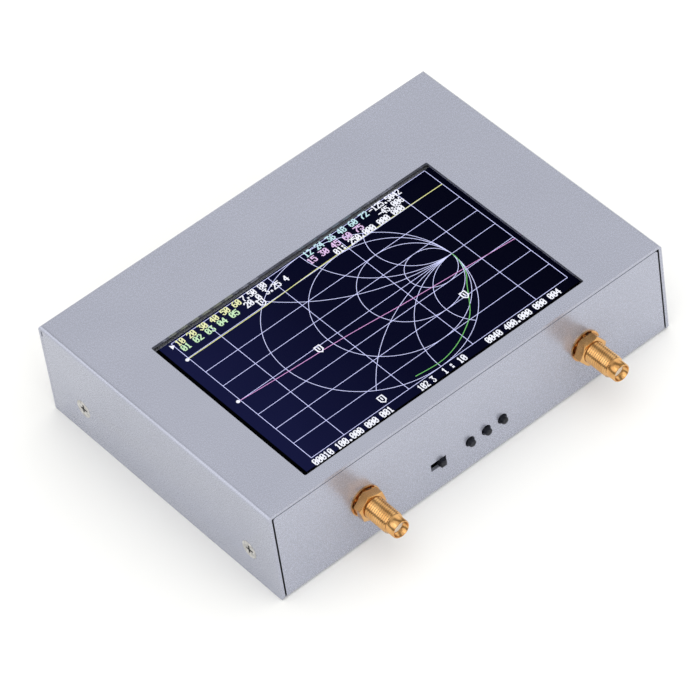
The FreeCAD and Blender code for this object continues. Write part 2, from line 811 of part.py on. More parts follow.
def shield_can(side):
    """Drawn lid over one jack's circuit, open below, with a row of vent slots."""
    x = JACK_XS[side]
    ys = (BOARD_FRONT + CAN_FRONT, BOARD_FRONT + CAN_FRONT + CAN_D)
    top = MAIN_TOP + CAN_H
    can = block(about(x, CAN_W), ys, (MAIN_TOP, top), CAN_R)
    room_levels = (MAIN_TOP - BEYOND, top - CAN_T)
    room = block(about(x, CAN_W - 2 * CAN_T), grown(ys, -CAN_T), room_levels, CAN_R - CAN_T)
    middle = (ys[0] + ys[1]) / 2
    vent_xs = about(x, CAN_SLOT_LENGTH)
    vent_levels = (top - CAN_H / 2, top + BEYOND)
    vents = []
    for index in range(CAN_SLOT_COUNT):
        vent_y = middle + (index - (CAN_SLOT_COUNT - 1) / 2) * CAN_SLOT_PITCH
        vents.append(block(vent_xs, about(vent_y, CAN_SLOT_W), vent_levels))
    return can.cut([room] + vents)


def processor_chip():
    """Flat square chip with one corner cut off as its mark."""
    low_x, high_x = about(CHIP_X, CHIP_SIDE)
    low_y, high_y = about(CHIP_Y, CHIP_SIDE)
    corners = [
        (in_xy(low_x + CHIP_CORNER, low_y), 0),
        (in_xy(high_x, low_y), 0),
        (in_xy(high_x, high_y), 0),
        (in_xy(low_x, high_y), 0),
        (in_xy(low_x, low_y + CHIP_CORNER), 0),
    ]
    return prism(corners, UP * MAIN_TOP, UP * CHIP_T)


def synthesiser_chips():
    """Two flat chips, one for each signal source."""
    levels = (MAIN_TOP, MAIN_TOP + SYNTH_T)
    xs = (SYNTH_X - SYNTH_PITCH / 2, SYNTH_X + SYNTH_PITCH / 2)
    return [block(about(x, SYNTH_SIDE), about(SYNTH_Y, SYNTH_SIDE), levels) for x in xs]


def oscillator_can():
    """Small metal can of the reference oscillator."""
    return block(about(SYNTH_X, OSC_W), about(OSC_Y, OSC_D), (MAIN_TOP, MAIN_TOP + OSC_H), OSC_R)


def power_inductor():
    """Squat choke of the charging circuit."""
    return block(about(COIL_X, COIL_SIDE), about(COIL_Y, COIL_SIDE), (MAIN_TOP, MAIN_TOP + COIL_H), COIL_R)


def chip_capacitors():
    """Row of small blocks behind the processor."""
    capacitors = []
    for index in range(CAP_COUNT):
        x = CHIP_X + (index - (CAP_COUNT - 1) / 2) * CAP_PITCH
        capacitors.append(block(about(x, CAP_W), about(CAP_Y, CAP_D), (MAIN_TOP, MAIN_TOP + CAP_H)))
    return capacitors


def usb_racetrack(grow):
    """Round-ended outline of the charging socket, larger or smaller all round."""
    width = USB_W + 2 * grow
    height = USB_H + 2 * grow
    return rectangle(in_xz, about(USB_X, width), about(USB_Z, height), height / 2)


def usb_opening():
    """Cutter for the charging socket's hole in the back wall."""
    return prism(usb_racetrack(USB_FIT), Vector(0, REAR - BEYOND, 0), Vector(0, 2 * BEYOND, 0))


def usb_shell():
    """Round-ended metal shell with a foot along each side, soldered to the board."""
    start = Vector(0, USB_MOUTH - USB_LENGTH, 0)
    length = Vector(0, USB_LENGTH, 0)
    shell = prism(usb_racetrack(0), start, length)
    foot_levels = (MAIN_TOP, MAIN_TOP + USB_FOOT_T)
    feet = []
    for side in (-1, 1):
        foot_xs = about(USB_X + side * (USB_W - USB_H + USB_FOOT_W) / 2, USB_H + USB_FOOT_W)
        for y in (BOARD_REAR - USB_FOOT_D, USB_MOUTH - USB_LENGTH + USB_FOOT_D):
            feet.append(block(foot_xs, about(y, USB_FOOT_D), foot_levels))
    return shell.fuse(feet).cut(prism(usb_racetrack(-USB_SHELL), start, length))


def usb_tongue():
    """Contact tongue on the block that closes the shell's back."""
    back = USB_MOUTH - USB_LENGTH
    base = prism(usb_racetrack(-USB_SHELL - USB_BASE_FIT), Vector(0, back, 0), Vector(0, USB_BASE_T, 0))
    tongue = block(
        about(USB_X, USB_TONGUE_W),
        (back, USB_MOUTH - USB_TONGUE_SETBACK),
        about(USB_Z, USB_TONGUE_T),
    )
    return base.fuse(tongue).removeSplitter()


def battery_cell():
    """Flat pouch cell with rounded long edges."""
    corners = rectangle(in_yz, about(CELL_Y, CELL_D), (CELL_Z, CELL_Z + CELL_T), CELL_R)
    return prism(corners, Vector(CELL_X - CELL_W / 2, 0, 0), Vector(CELL_W, 0, 0))


def battery_pad():
    """Adhesive foam under the cell."""
    xs = grown(about(CELL_X, CELL_W), -PAD_INSET)
    ys = grown(about(CELL_Y, CELL_D), -PAD_INSET)
    return block(xs, ys, (SHEET, CELL_Z))


def guard_board():
    """Narrow protection board across the cell's end."""
    middle = CELL_Z + CELL_T / 2
    return block((CELL_END, CELL_END + GUARD_T), about(CELL_Y, GUARD_D), about(middle, GUARD_H))


def lead_stations():
    """Places along X where the battery lead starts, rises, levels out and meets its plug."""
    start = CELL_END + GUARD_T
    rise = start + LEAD_RUN
    level = rise + LEAD_SLOPE
    return start, rise, level, level + LEAD_RUN


def battery_lead():
    """Flat twin lead that rises from the guard board to the plug in two even bends."""
    start, rise, level, end = lead_stations()
    low = CELL_Z + CELL_T / 2
    route = [
        (in_xz(start, low), 0),
        (in_xz(rise, low), LEAD_BEND_R),
        (in_xz(level, PLUG_Z), LEAD_BEND_R),
        (in_xz(end, PLUG_Z), 0),
    ]
    return prism(strip(route, LEAD_T), Vector(0, CELL_Y - LEAD_W / 2, 0), Vector(0, LEAD_W, 0))


def battery_plug():
    """Plug housing on the battery lead, pushed into its socket."""
    start = lead_stations()[-1]
    width = SOCKET_W - 2 * SOCKET_WALL - 2 * PLUG_FIT
    height = SOCKET_H - 2 * SOCKET_WALL - 2 * PLUG_FIT
    end = start + PLUG_TAIL + SOCKET_LENGTH - SOCKET_FLOOR
    return block((start, end), about(CELL_Y, width), about(PLUG_Z, height))


def battery_socket():
    """Battery connector under the main board, open towards the plug."""
    start = lead_stations()[-1] + PLUG_TAIL
    body = block((start, start + SOCKET_LENGTH), about(CELL_Y, SOCKET_W), (MAIN_UNDER - SOCKET_H, MAIN_UNDER))
    room = block(
        (start, start + SOCKET_LENGTH - SOCKET_FLOOR),
        about(CELL_Y, SOCKET_W - 2 * SOCKET_WALL),
        about(PLUG_Z, SOCKET_H - 2 * SOCKET_WALL),
    )
    return body.cut(room)


def jack_foot(side):
    """Centre of a jack on the panel's outer face."""
    return Vector(JACK_XS[side], FRONT, JACK_Z)


def jack_body(side):
    """Threaded barrel with a smooth nose, a counterbored mouth, a square flange and four prongs."""
    back = FRONT - BOARD_FRONT
    shoulder = JACK_REACH - JACK_PILOT
    floor = JACK_REACH - JACK_MOUTH
    profile = [
        (0, back),
        (JACK_R, back),
        (JACK_R, shoulder - JACK_CHAMFER),
        (JACK_R - JACK_CHAMFER, shoulder),
        (JACK_PILOT_R, shoulder),
        (JACK_PILOT_R, JACK_REACH - JACK_CHAMFER),
        (JACK_PILOT_R - JACK_CHAMFER, JACK_REACH),
        (JACK_MOUTH_R, JACK_REACH),
        (JACK_MOUTH_R, floor),
        (0, floor),
    ]
    x = JACK_XS[side]
    pieces = [block(about(x, JACK_FLANGE), (PANEL_BACK, BOARD_FRONT), about(JACK_Z, JACK_FLANGE))]
    prong_ys = (BOARD_FRONT, BOARD_FRONT + PRONG_LENGTH)
    for direction in (-1, 1):
        prong_x = about(x + direction * (JACK_FLANGE - PRONG_W) / 2, PRONG_W)
        pieces.append(block(prong_x, prong_ys, (MAIN_TOP, MAIN_TOP + PRONG_H)))
        pieces.append(block(prong_x, prong_ys, (MAIN_UNDER - PRONG_H, MAIN_UNDER)))
    body = turned(profile, jack_foot(side), OUTWARD).fuse(pieces)
    return body.cut(rod(JACK_CORE_R, -BEYOND, floor, jack_foot(side), OUTWARD)).removeSplitter()


def jack_insulator(side):
    """White sleeve between the jack's body and its contact."""
    back = FRONT - BOARD_FRONT
    floor = JACK_REACH - JACK_MOUTH
    profile = [(PIN_R, back), (JACK_CORE_R, back), (JACK_CORE_R, floor), (PIN_R, floor)]
    return turned(profile, jack_foot(side), OUTWARD)


def jack_contact(side):
    """Centre contact, bored and split four ways at the mouth, with a flat solder tab behind."""
    back = FRONT - BOARD_FRONT
    floor = JACK_REACH - JACK_MOUTH
    foot = jack_foot(side)
    profile = [
        (0, back),
        (PIN_R, back),
        (PIN_R, floor),
        (PIN_BORE_R, floor),
        (PIN_BORE_R, floor - PIN_BORE),
        (0, floor - PIN_BORE),
    ]
    tab = block(about(foot.x, TAB_W), (BOARD_FRONT, BOARD_FRONT + TAB_LENGTH), (MAIN_TOP, MAIN_TOP + TAB_T))
    slot_ys = (FRONT - floor, FRONT - floor + PIN_SLOT)
    slots = [
        block(about(foot.x, PIN_SLOT_W), slot_ys, about(foot.z, 2 * JACK_CORE_R)),
        block(about(foot.x, 2 * JACK_CORE_R), slot_ys, about(foot.z, PIN_SLOT_W)),
    ]
    return turned(profile, foot, OUTWARD).fuse(tab).cut(slots)


def washer_tooth(angle):
    """One inner tooth of the lock washer, twisted about its own length and lifted clear of the panel."""
    tooth = block((TOOTH_TIP_R, WASHER_BORE_R + TOOTH_ROOT), about(0, TOOTH_W), about(0, TOOTH_T))
    tooth.rotate(Vector(), Vector(1, 0, 0), TOOTH_TWIST)
    twist = math.radians(TOOTH_TWIST)
    half_height = (TOOTH_W * math.sin(twist) + TOOTH_T * math.cos(twist)) / 2
    tooth.translate(UP * (half_height + TOOTH_FIT))
    tooth.rotate(Vector(), UP, angle)
    return tooth


def jack_washer(side):
    """Lock washer: a flat ring with twisted teeth round its bore."""
    profile = [(WASHER_BORE_R, 0), (WASHER_R, 0), (WASHER_R, WASHER_T), (WASHER_BORE_R, WASHER_T)]
    ring = turned(profile, Vector(), UP)
    teeth = [washer_tooth(360 * index / TOOTH_COUNT) for index in range(TOOTH_COUNT)]
    return aimed(ring.fuse(teeth), jack_foot(side), OUTWARD)


def jack_nut(side):
    """Six-sided nut with a chamfered front face, seated on the lock washer's teeth."""
    corner = HEX_AF / math.sqrt(3)
    end = HEX_START + HEX_T
    blank = prism(hexagon(HEX_AF, HEX_TURN[side]), UP * HEX_START, UP * HEX_T)
    chamfered = [
        (0, HEX_START),
        (corner, HEX_START),
        (corner, end - HEX_CHAMFER),
        (HEX_FACE_R, end),
        (0, end),
    ]
    bore = rod(JACK_R + HEX_BORE_FIT, HEX_START, end, Vector(), UP)
    nut = blank.common(turned(chamfered, Vector(), UP)).cut(bore)
    return aimed(nut, jack_foot(side), OUTWARD)


def key_board():
    """Upright board behind the panel that carries the switch and the buttons."""
    lowest = CONTROL_Z - max(SWITCH_H, BUTTON_BODY) / 2 - KEY_BOARD_DROP
    xs = (
        SLOT_X - SWITCH_W / 2 - KEY_BOARD_MARGIN,
        BUTTON_XS["right"] + BUTTON_BODY / 2 + KEY_BOARD_MARGIN,
    )
    return block(xs, (KEY_BOARD_FRONT, KEY_BOARD_BACK), (lowest, MAIN_UNDER))


def key_header():
    """Angled header in the corner between the upright board and the main board."""
    middle = (SLOT_X + BUTTON_X) / 2
    levels = (MAIN_UNDER - HEADER_H, MAIN_UNDER)
    return header_body(KEY_PINS, middle, (KEY_BOARD_BACK, KEY_BOARD_BACK + HEADER_W), levels)


def control_block(x, width, height, ys, radius=0):
    """Block behind the panel on the line of the controls, its edges along Y rounded."""
    corners = rectangle(in_xz, about(x, width), about(CONTROL_Z, height), radius)
    return prism(corners, Vector(0, ys[0], 0), Vector(0, ys[1] - ys[0], 0))


def switch_frame():
    """Folded metal shell of the slide switch, open behind, with a slot for the lever."""
    shell = control_block(SLOT_X, SWITCH_W, SWITCH_H, (SWITCH_FACE, KEY_BOARD_FRONT), SWITCH_SHELL)
    room = control_block(
        SLOT_X,
        SWITCH_W - 2 * SWITCH_SHELL,
        SWITCH_H - 2 * SWITCH_SHELL,
        (SWITCH_FACE + SWITCH_SHELL, KEY_BOARD_FRONT),
    )
    slot = control_block(
        SLOT_X,
        LEVER_W + LEVER_TRAVEL + 2 * LEVER_FIT,
        LEVER_H + 2 * LEVER_FIT,
        (SWITCH_FACE - BEYOND, SWITCH_FACE + BEYOND / 2),
    )
    return shell.cut([room, slot])


def switch_base():
    """Insulating plate that closes the switch's back."""
    width = SWITCH_W - 2 * SWITCH_SHELL - 2 * SEAT_FIT
    height = SWITCH_H - 2 * SWITCH_SHELL - 2 * SEAT_FIT
    return control_block(SLOT_X, width, height, (KEY_BOARD_FRONT - SWITCH_BASE_T, KEY_BOARD_FRONT))


def flat_legs(xs, edge, direction):
    """Short legs that lie on the upright board and leave a housing's edge up or down."""
    levels = sorted((edge, edge + direction * LEG_LENGTH))
    return [block(about(x, LEG_W), (KEY_BOARD_FRONT - LEG_T, KEY_BOARD_FRONT), levels) for x in xs]


def switch_terminals():
    """Three soldered legs below the slide switch."""
    steps = [index - (TERMINAL_COUNT - 1) / 2 for index in range(TERMINAL_COUNT)]
    xs = [SLOT_X + step * TERMINAL_PITCH for step in steps]
    return flat_legs(xs, CONTROL_Z - SWITCH_H / 2, -1)


def power_switch_lever():
    """Slide switch's lever with the shoe that it slides on, at rest at the right end of its slot."""
    inner_face = SWITCH_FACE + SWITCH_SHELL + LEVER_FIT
    base_face = KEY_BOARD_FRONT - SWITCH_BASE_T - LEVER_FIT
    shoe_h = SWITCH_H - 2 * SWITCH_SHELL - 2 * LEVER_FIT
    shoe = control_block(LEVER_REST_X, SHOE_W, shoe_h, (inner_face, base_face))
    tip = FRONT - LEVER_REACH
    left, right = about(LEVER_REST_X, LEVER_W)
    stem = [
        (in_xy(left, base_face), 0),
        (in_xy(left, tip), LEVER_EDGE),
        (in_xy(right, tip), LEVER_EDGE),
        (in_xy(right, base_face), 0),
    ]
    lever = prism(stem, UP * (CONTROL_Z - LEVER_H / 2), UP * LEVER_H)
    return lever.fuse(shoe).removeSplitter()


def button_depths():
    """Distances out from the panel's face to the lid's two faces, the cavity's floor and the back."""
    lid_out = FRONT - BUTTON_FACE
    lid_in = lid_out - BUTTON_LID
    floor = lid_in - COLLAR_T - BUTTON_TRAVEL - BUTTON_STOP_GAP - DOME_H
    return lid_out, lid_in, floor


def button_foot(place):
    """Centre of a button on the panel's outer face."""
    return Vector(BUTTON_XS[place], FRONT, CONTROL_Z)


def button_housing(place):
    """Square push-switch housing, bored for the plunger's collar and its dome."""
    lid_out, lid_in, floor = button_depths()
    body = control_block(BUTTON_XS[place], BUTTON_BODY, BUTTON_BODY, (BUTTON_FACE, KEY_BOARD_FRONT))
    guide = BUTTON_CAP_R + BUTTON_LID_FIT
    room = COLLAR_R + COLLAR_BORE_FIT
    mouth = lid_out + BEYOND
    profile = [(0, floor), (room, floor), (room, lid_in), (guide, lid_in), (guide, mouth), (0, mouth)]
    return body.cut(turned(profile, button_foot(place), OUTWARD))


def button_plunger(place):
    """Round push button with the collar that keeps it in its housing."""
    lid_in = button_depths()[1]
    profile = [
        (0, lid_in - COLLAR_T),
        (COLLAR_R, lid_in - COLLAR_T),
        (COLLAR_R, lid_in),
        (BUTTON_CAP_R, lid_in),
        (BUTTON_CAP_R, BUTTON_REACH - BUTTON_CAP_EDGE),
        (BUTTON_CAP_R - BUTTON_CAP_EDGE, BUTTON_REACH),
        (0, BUTTON_REACH),
    ]
    return turned(profile, button_foot(place), OUTWARD)


def button_domes():
    """Three sprung contact domes, one on the floor of each housing."""
    floor = button_depths()[2]
    profile = [(0, floor), (DOME_R, floor), (DOME_FLAT_R, floor + DOME_H), (0, floor + DOME_H)]
    return [turned(profile, button_foot(place), OUTWARD) for place in BUTTON_XS]


def button_legs():
    """Soldered legs above and below the three housings."""
    legs = []
    for x in BUTTON_XS.values():
        xs = (x - LEG_SPREAD / 2, x + LEG_SPREAD / 2)
        legs += flat_legs(xs, CONTROL_Z + BUTTON_BODY / 2, 1)
        legs += flat_legs(xs, CONTROL_Z - BUTTON_BODY / 2, -1)
    return legs


def save(node, shape):
    """Write one node; a list of separate solids goes into one file."""
    whole = Part.makeCompound(shape) if isinstance(shape, list) else shape
    whole.exportStep(f"parts/{node}.step")


def main():
    """Build every node and write it."""
    os.makedirs("parts", exist_ok=True)
    single = [
        top_cover,
        chassis_tray,
        side_screws,
        flange_nuts,
        floor_screws,
        lower_posts,
        upper_posts,
        display_screws,
        display_gasket,
        touch_panel,
        display_bezel,
        display_tape,
        display_ribbon,
        ribbon_connector,
        link_header,
        link_socket,
        processor_chip,
        synthesiser_chips,
        oscillator_can,
        power_inductor,
        chip_capacitors,
        usb_shell,
        usb_tongue,
        battery_cell,
        battery_pad,
        guard_board,
        battery_lead,
        battery_plug,
        battery_socket,
        key_board,
        key_header,
        switch_frame,
        switch_base,
        switch_terminals,
        power_switch_lever,
        button_domes,
        button_legs,
    ]
    for build in single:
        save(build.__name__, build())
    save("display_glass", module_plate(LCD_UNDER, LCD_TOP))
    save("backlight_guide", module_plate(MODULE_UNDER, LCD_UNDER))
    save("main_board", circuit_board(MAIN_UNDER))
    save("display_board", circuit_board(DISPLAY_BOARD_UNDER))
    for side in JACK_XS:
        for build in (shield_can, jack_body, jack_insulator, jack_contact, jack_washer, jack_nut):
            save(f"{build.__name__}_{side}", build(side))
    for place in BUTTON_XS:
        for build in (button_housing, button_plunger):
            save(f"{build.__name__}_{place}", build(place))


main()
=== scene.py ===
"""Finishes, fine pieces, light and camera of the antenna analyzer, in metres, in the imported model's frame."""

import logging
import math
from collections.abc import Iterable, Sequence
from dataclasses import dataclass, field
from enum import Enum

import bmesh
import bpy
from mathutils import Matrix, Vector


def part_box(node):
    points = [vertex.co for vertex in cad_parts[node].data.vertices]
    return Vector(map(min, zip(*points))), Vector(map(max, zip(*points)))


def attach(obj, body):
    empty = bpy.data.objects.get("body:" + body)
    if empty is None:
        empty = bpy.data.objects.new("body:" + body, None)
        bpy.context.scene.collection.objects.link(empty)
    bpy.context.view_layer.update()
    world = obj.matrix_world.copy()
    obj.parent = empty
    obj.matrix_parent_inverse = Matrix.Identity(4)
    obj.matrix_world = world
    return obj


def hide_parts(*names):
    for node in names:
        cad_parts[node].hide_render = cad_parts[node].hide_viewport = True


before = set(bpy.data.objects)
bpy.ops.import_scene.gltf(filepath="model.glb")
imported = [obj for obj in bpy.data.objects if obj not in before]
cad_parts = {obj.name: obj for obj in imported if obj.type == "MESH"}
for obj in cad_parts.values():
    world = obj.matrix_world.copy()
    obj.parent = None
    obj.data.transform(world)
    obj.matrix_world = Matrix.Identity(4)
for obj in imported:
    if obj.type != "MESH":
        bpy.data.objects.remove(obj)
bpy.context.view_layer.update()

log = logging.getLogger("analyzer")

MM = 0.001
Point = tuple[float, float]
Span = tuple[float, float]
Colour = tuple[float, float, float]

# The display's usual curve: straight up to the toe, and a power beyond it.
TOE, TOE_SLOPE, LIFT, POWER = 0.04045, 12.92, 0.055, 2.4

# Points nearer than this are one point: in a solid's mesh, and in the display's picture.
WELD = 0.0005 * MM
FINE_WELD = 0.0001 * MM

# Angles in degrees: an edge stays sharp, is rounded, or is flat enough to be taken out.
SHARP_FROM = 30
ROUNDED_FROM = 40
FLAT_BELOW = 0.5
ROUNDING_STEPS = 2


class Body(Enum):
    """The rigid bodies that pieces ride on."""

    CASE = "case"
    LEVER = "lever"
    LEFT_BUTTON = "button_left"
    MIDDLE_BUTTON = "button_middle"
    RIGHT_BUTTON = "button_right"


class Side(Enum):
    """The two jacks, by the side of the front panel that they sit on."""

    LEFT = "left"
    RIGHT = "right"


def linear(level: int) -> float:
    """Undoes the display's curve for one channel from 0 to 255."""
    share = level / 255
    return share / TOE_SLOPE if share <= TOE else ((share + LIFT) / (1 + LIFT)) ** POWER


def seen(red: int, green: int, blue: int) -> Colour:
    """Turns a colour as the eye reads it, 0 to 255, into the shader's linear one."""
    return linear(red), linear(green), linear(blue)


class Wire:
    """A number on its way through a tree of nodes; arithmetic on it adds Math nodes."""

    def __init__(self, board: "NodeBoard", socket: bpy.types.NodeSocket) -> None:
        """Keeps the tree that the number runs in and the output that carries it."""
        self.board = board
        self.socket = socket

    def _math(self, operation: str, *terms: "Wire | float") -> "Wire":
        """Puts the terms, in order, through one Math node."""
        made = self.board.node("ShaderNodeMath", {"operation": operation}, dict(enumerate(terms)))
        return Wire(self.board, made.outputs[0])

    def __add__(self, other: "Wire | float") -> "Wire":
        """Sum."""
        return self._math("ADD", self, other)

    __radd__ = __add__

    def __mul__(self, other: "Wire | float") -> "Wire":
        """Product."""
        return self._math("MULTIPLY", self, other)

    __rmul__ = __mul__

    def __sub__(self, other: "Wire | float") -> "Wire":
        """Difference."""
        return self._math("SUBTRACT", self, other)

    def __rsub__(self, other: float) -> "Wire":
        """Difference from a plain number."""
        return self._math("SUBTRACT", other, self)

    def __gt__(self, other: "Wire | float") -> "Wire":
        """One where this is greater, or else nought."""
        return self._math("GREATER_THAN", self, other)

    def __lt__(self, other: "Wire | float") -> "Wire":
        """One where this is less, or else nought."""
        return self._math("LESS_THAN", self, other)

    def ramp(self, low: float, high: float) -> "Wire":
        """Rises smoothly from nought at one value to one at another.

        Args:
            low: The value that gives nought.
            high: The value that gives one.

        Returns:
            The eased number.
        """
        settings = {"interpolation_type": "SMOOTHSTEP"}
        made = self.board.node("ShaderNodeMapRange", settings, {0: self, 1: low, 2: high})
        return Wire(self.board, made.outputs[0])

    def wave(self, pitch: float) -> "Wire":
        """Folds a length into a triangle wave that runs from nought to half its pitch."""
        return self._math("PINGPONG", self, pitch / 2)

    def within(self, low: float, high: float) -> "Wire":
        """One above the low end and up to the high end, nought elsewhere."""
        return (self > low) * (1.0 - (self > high))

    def around(self, level: float, swing: float) -> "Wire":
        """Turns a number around a half into one around a level, with a swing from end to end."""
        return self * swing + (level - swing / 2)

    def blend(self, other: "Wire", share: float) -> "Wire":
        """Takes a share of another number and the rest from this one."""
        return self * (1 - share) + other * share


class NodeBoard:
    """A tree of nodes while it is being laid out."""

    def __init__(self, owner: bpy.types.Material | bpy.types.World, output: str) -> None:
        """Empties the owner's tree and gives it its output.

        Args:
            owner: The material or world that holds the tree.
            output: The type of its output node.
        """
        owner.use_nodes = True
        self.tree = owner.node_tree
        self.tree.nodes.clear()
        self.output = self.tree.nodes.new(output)

    def node(self, kind: str, settings: dict[str, object], inputs: dict[object, object]) -> bpy.types.Node:
        """Adds one node.

        Args:
            kind: The node's type.
            settings: Its properties, and "stops" for the stops of a ramp.
            inputs: Values or links, by the name or the number of the socket.

        Returns:
            The node.
        """
        made = self.tree.nodes.new(kind)
        for name, value in settings.items():
            if name == "stops":
                self._set_stops(made, value)
            else:
                setattr(made, name, value)
        for name, value in inputs.items():
            self.feed(made.inputs[name], value)
        return made

    @staticmethod
    def _set_stops(ramp: bpy.types.Node, stops: Sequence[tuple[float, Colour]]) -> None:
        """Sets a ramp's stops.

        Args:
            ramp: The ramp node.
            stops: Places and colours, in order.
        """
        elements = ramp.color_ramp.elements
        while len(elements) < len(stops):
            elements.new(1.0)
        for element, (place, colour) in zip(elements, stops):
            element.position = place
            element.color = (*colour, 1.0)

    def feed(self, socket: bpy.types.NodeSocket, value: object) -> None:
        """Links a value to a socket, or sets it there.

        Args:
            socket: The input.
            value: A Wire, an output socket, a number, a colour or a vector.
        """
        if isinstance(value, Wire):
            self.tree.links.new(value.socket, socket)
        elif isinstance(value, bpy.types.NodeSocket):
            self.tree.links.new(value, socket)
        elif isinstance(value, tuple) and socket.type == "RGBA":
            socket.default_value = (*value, 1.0)
        else:
            socket.default_value = value

    def facing(self, toward: bpy.types.NodeSocket, direction: Sequence[float]) -> Wire:
        """How well a direction in the tree agrees with a fixed one: one where they are the same."""
        made = self.node("ShaderNodeVectorMath", {"operation": "DOT_PRODUCT"}, {0: toward, 1: direction})
        return Wire(self, made.outputs["Value"])

    def close(self, surface: bpy.types.Node) -> None:
        """Links the last node to the output."""
        self.feed(self.output.inputs[0], surface.outputs[0])


class Shader(NodeBoard):
    """A node material while it is being made."""

    def __init__(self, name: str) -> None:
        """Opens an empty material.

        Args:
            name: The material's name.
        """
        self.material = bpy.data.materials.new(name)
        super().__init__(self.material, "ShaderNodeOutputMaterial")
        self.object_place = self.node("ShaderNodeTexCoord", {}, {}).outputs["Object"]

    def stretched(self, x: float, y: float, z: float) -> bpy.types.NodeSocket:
        """The place on the object with each axis scaled by its number."""
        settings = {"operation": "MULTIPLY"}
        return self.node("ShaderNodeVectorMath", settings, {0: self.object_place, 1: (x, y, z)}).outputs[0]

    def axis(self, name: str) -> Wire:
        """One coordinate of the place on the object, in metres."""
        return Wire(self, self.node("ShaderNodeSeparateXYZ", {}, {0: self.object_place}).outputs[name])

    def inside(self, axes: str, spans: Sequence[Span]) -> Wire:
        """One where each named axis is within its span, in metres, and nought elsewhere."""
        return math.prod(self.axis(letter).within(*span) for letter, span in zip(axes, spans))

    def noise(self, grain: float, detail: float = 2.0, place: bpy.types.NodeSocket | None = None) -> Wire:
        """Soft noise around a half, in spots of this size, read on the object or at another place."""
        inputs = {"Vector": place or self.object_place, "Scale": 1 / grain, "Detail": detail}
        return Wire(self, self.node("ShaderNodeTexNoise", {}, inputs).outputs[0])

    def cells(self, size: float) -> Wire:
        """Distance to the nearest of scattered points, in cells of this size."""
        inputs = {"Vector": self.object_place, "Scale": 1 / size}
        return Wire(self, self.node("ShaderNodeTexVoronoi", {}, inputs).outputs["Distance"])

    def mix(self, factor: Wire, first: object, second: object) -> bpy.types.NodeSocket:
        """Blends two colours or sockets: nought gives the first, one the second."""
        settings = {"data_type": "RGBA"}
        return self.node("ShaderNodeMix", settings, {0: factor, 6: first, 7: second}).outputs[2]

    def bump(self, height: Wire, depth: float) -> bpy.types.NodeSocket:
        """Turns a height from nought to one, which is this deep in metres, into a bent normal."""
        inputs = {"Height": height, "Distance": depth, "Strength": 1.0}
        return self.node("ShaderNodeBump", {}, inputs).outputs[0]

    def surface(self, inputs: dict[object, object]) -> bpy.types.Material:
        """Closes the material with a Principled surface, given its inputs by name."""
        self.close(self.node("ShaderNodeBsdfPrincipled", {}, inputs))
        return self.material


@dataclass(frozen=True)
class SilverCoat:
    """Silver paint baked on sheet metal, with a fine sandy grain and a satin gloss.

    Its colour has painted shade down in the two front seams and, less so, round the window's cut edge.
    """

    light: Colour = seen(171, 174, 188)
    dark: Colour = seen(167, 170, 184)
    grain: float = 0.22 * MM
    mottle: float = 22 * MM
    mottle_share: float = 0.65
    contrast: Span = (0.30, 0.70)
    flake: float = 0.352 * MM
    flake_share: float = 0.3
    depth: float = 0.0025 * MM
    roughness: float = 0.27
    swing: float = 0.08
    metallic: float = 0.5
    lacquer: float = 0.2
    lacquer_roughness: float = 0.22
    # Painted shade: the dark colour mixed in at the two front seams and on the window's cut edge.
    shade: Colour = seen(34, 34, 36)
    cut_shade: float = 0.5
    cut: tuple[Span, ...] = ((-50.38 * MM, 43.48 * MM), (-43.03 * MM, 19.73 * MM), (30.55 * MM, 31.55 * MM))
    seam: tuple[Span, ...] = ((64.72 * MM, 65.24 * MM), (-47.7 * MM, -46.5 * MM), (1.2 * MM, 30.5 * MM))

    def make(self) -> bpy.types.Material:
        """Makes the paint's material.

        Returns:
            The material.
        """
        shader = Shader("silver_coat")
        # Masks for painted shade: the two front seams take it fully, the window's cut edge by cut_shade.
        outward = shader.axis("X") * shader.axis("X")
        low, high = self.seam[0]
        seams = outward.within(low**2, high**2) * shader.inside("YZ", self.seam[1:])
        shaded = seams + shader.inside("XYZ", self.cut) * self.cut_shade
        grain = shader.noise(self.grain, detail=3.0)
        tone = grain.blend(shader.noise(self.mottle), self.mottle_share).ramp(*self.contrast)
        relief = grain.blend(shader.cells(self.flake), self.flake_share)
        return shader.surface({
            "Base Color": shader.mix(shaded, shader.mix(tone, self.dark, self.light), self.shade),
            "Roughness": grain.around(self.roughness, self.swing),
            "Metallic": self.metallic,
            "Coat Weight": self.lacquer,
            "Coat Roughness": self.lacquer_roughness,
            "Normal": shader.bump(relief, self.depth),
        })


@dataclass(frozen=True)
class PlatedMetal:
    """Bare or plated metal with fine turning or drawing marks."""

    name: str
    light: Colour
    dark: Colour
    roughness: float
    lacquer: float = 0.0
    marks: float = 0.12 * MM
    drawn_out: tuple[float, float, float] = (1.0, 6.0, 1.0)
    stains: float = 3.5 * MM
    contrast: Span = (0.35, 0.65)
    swing: float = 0.10
    stain_swing: float = 0.04
    depth: float = 0.0012 * MM

    def make(self) -> bpy.types.Material:
        """Makes the metal's material.

        Returns:
            The material.
        """
        shader = Shader(self.name)
        lines = shader.noise(self.marks, place=shader.stretched(*self.drawn_out))
        stain = shader.noise(self.stains, detail=3.0)
        return shader.surface({
            "Base Color": shader.mix(stain.ramp(*self.contrast), self.dark, self.light),
            "Roughness": lines.around(self.roughness, self.swing) + stain.around(0.0, self.stain_swing),
            "Metallic": 1.0,
            "Coat Weight": self.lacquer,
            "Normal": shader.bump(lines, self.depth),
        })


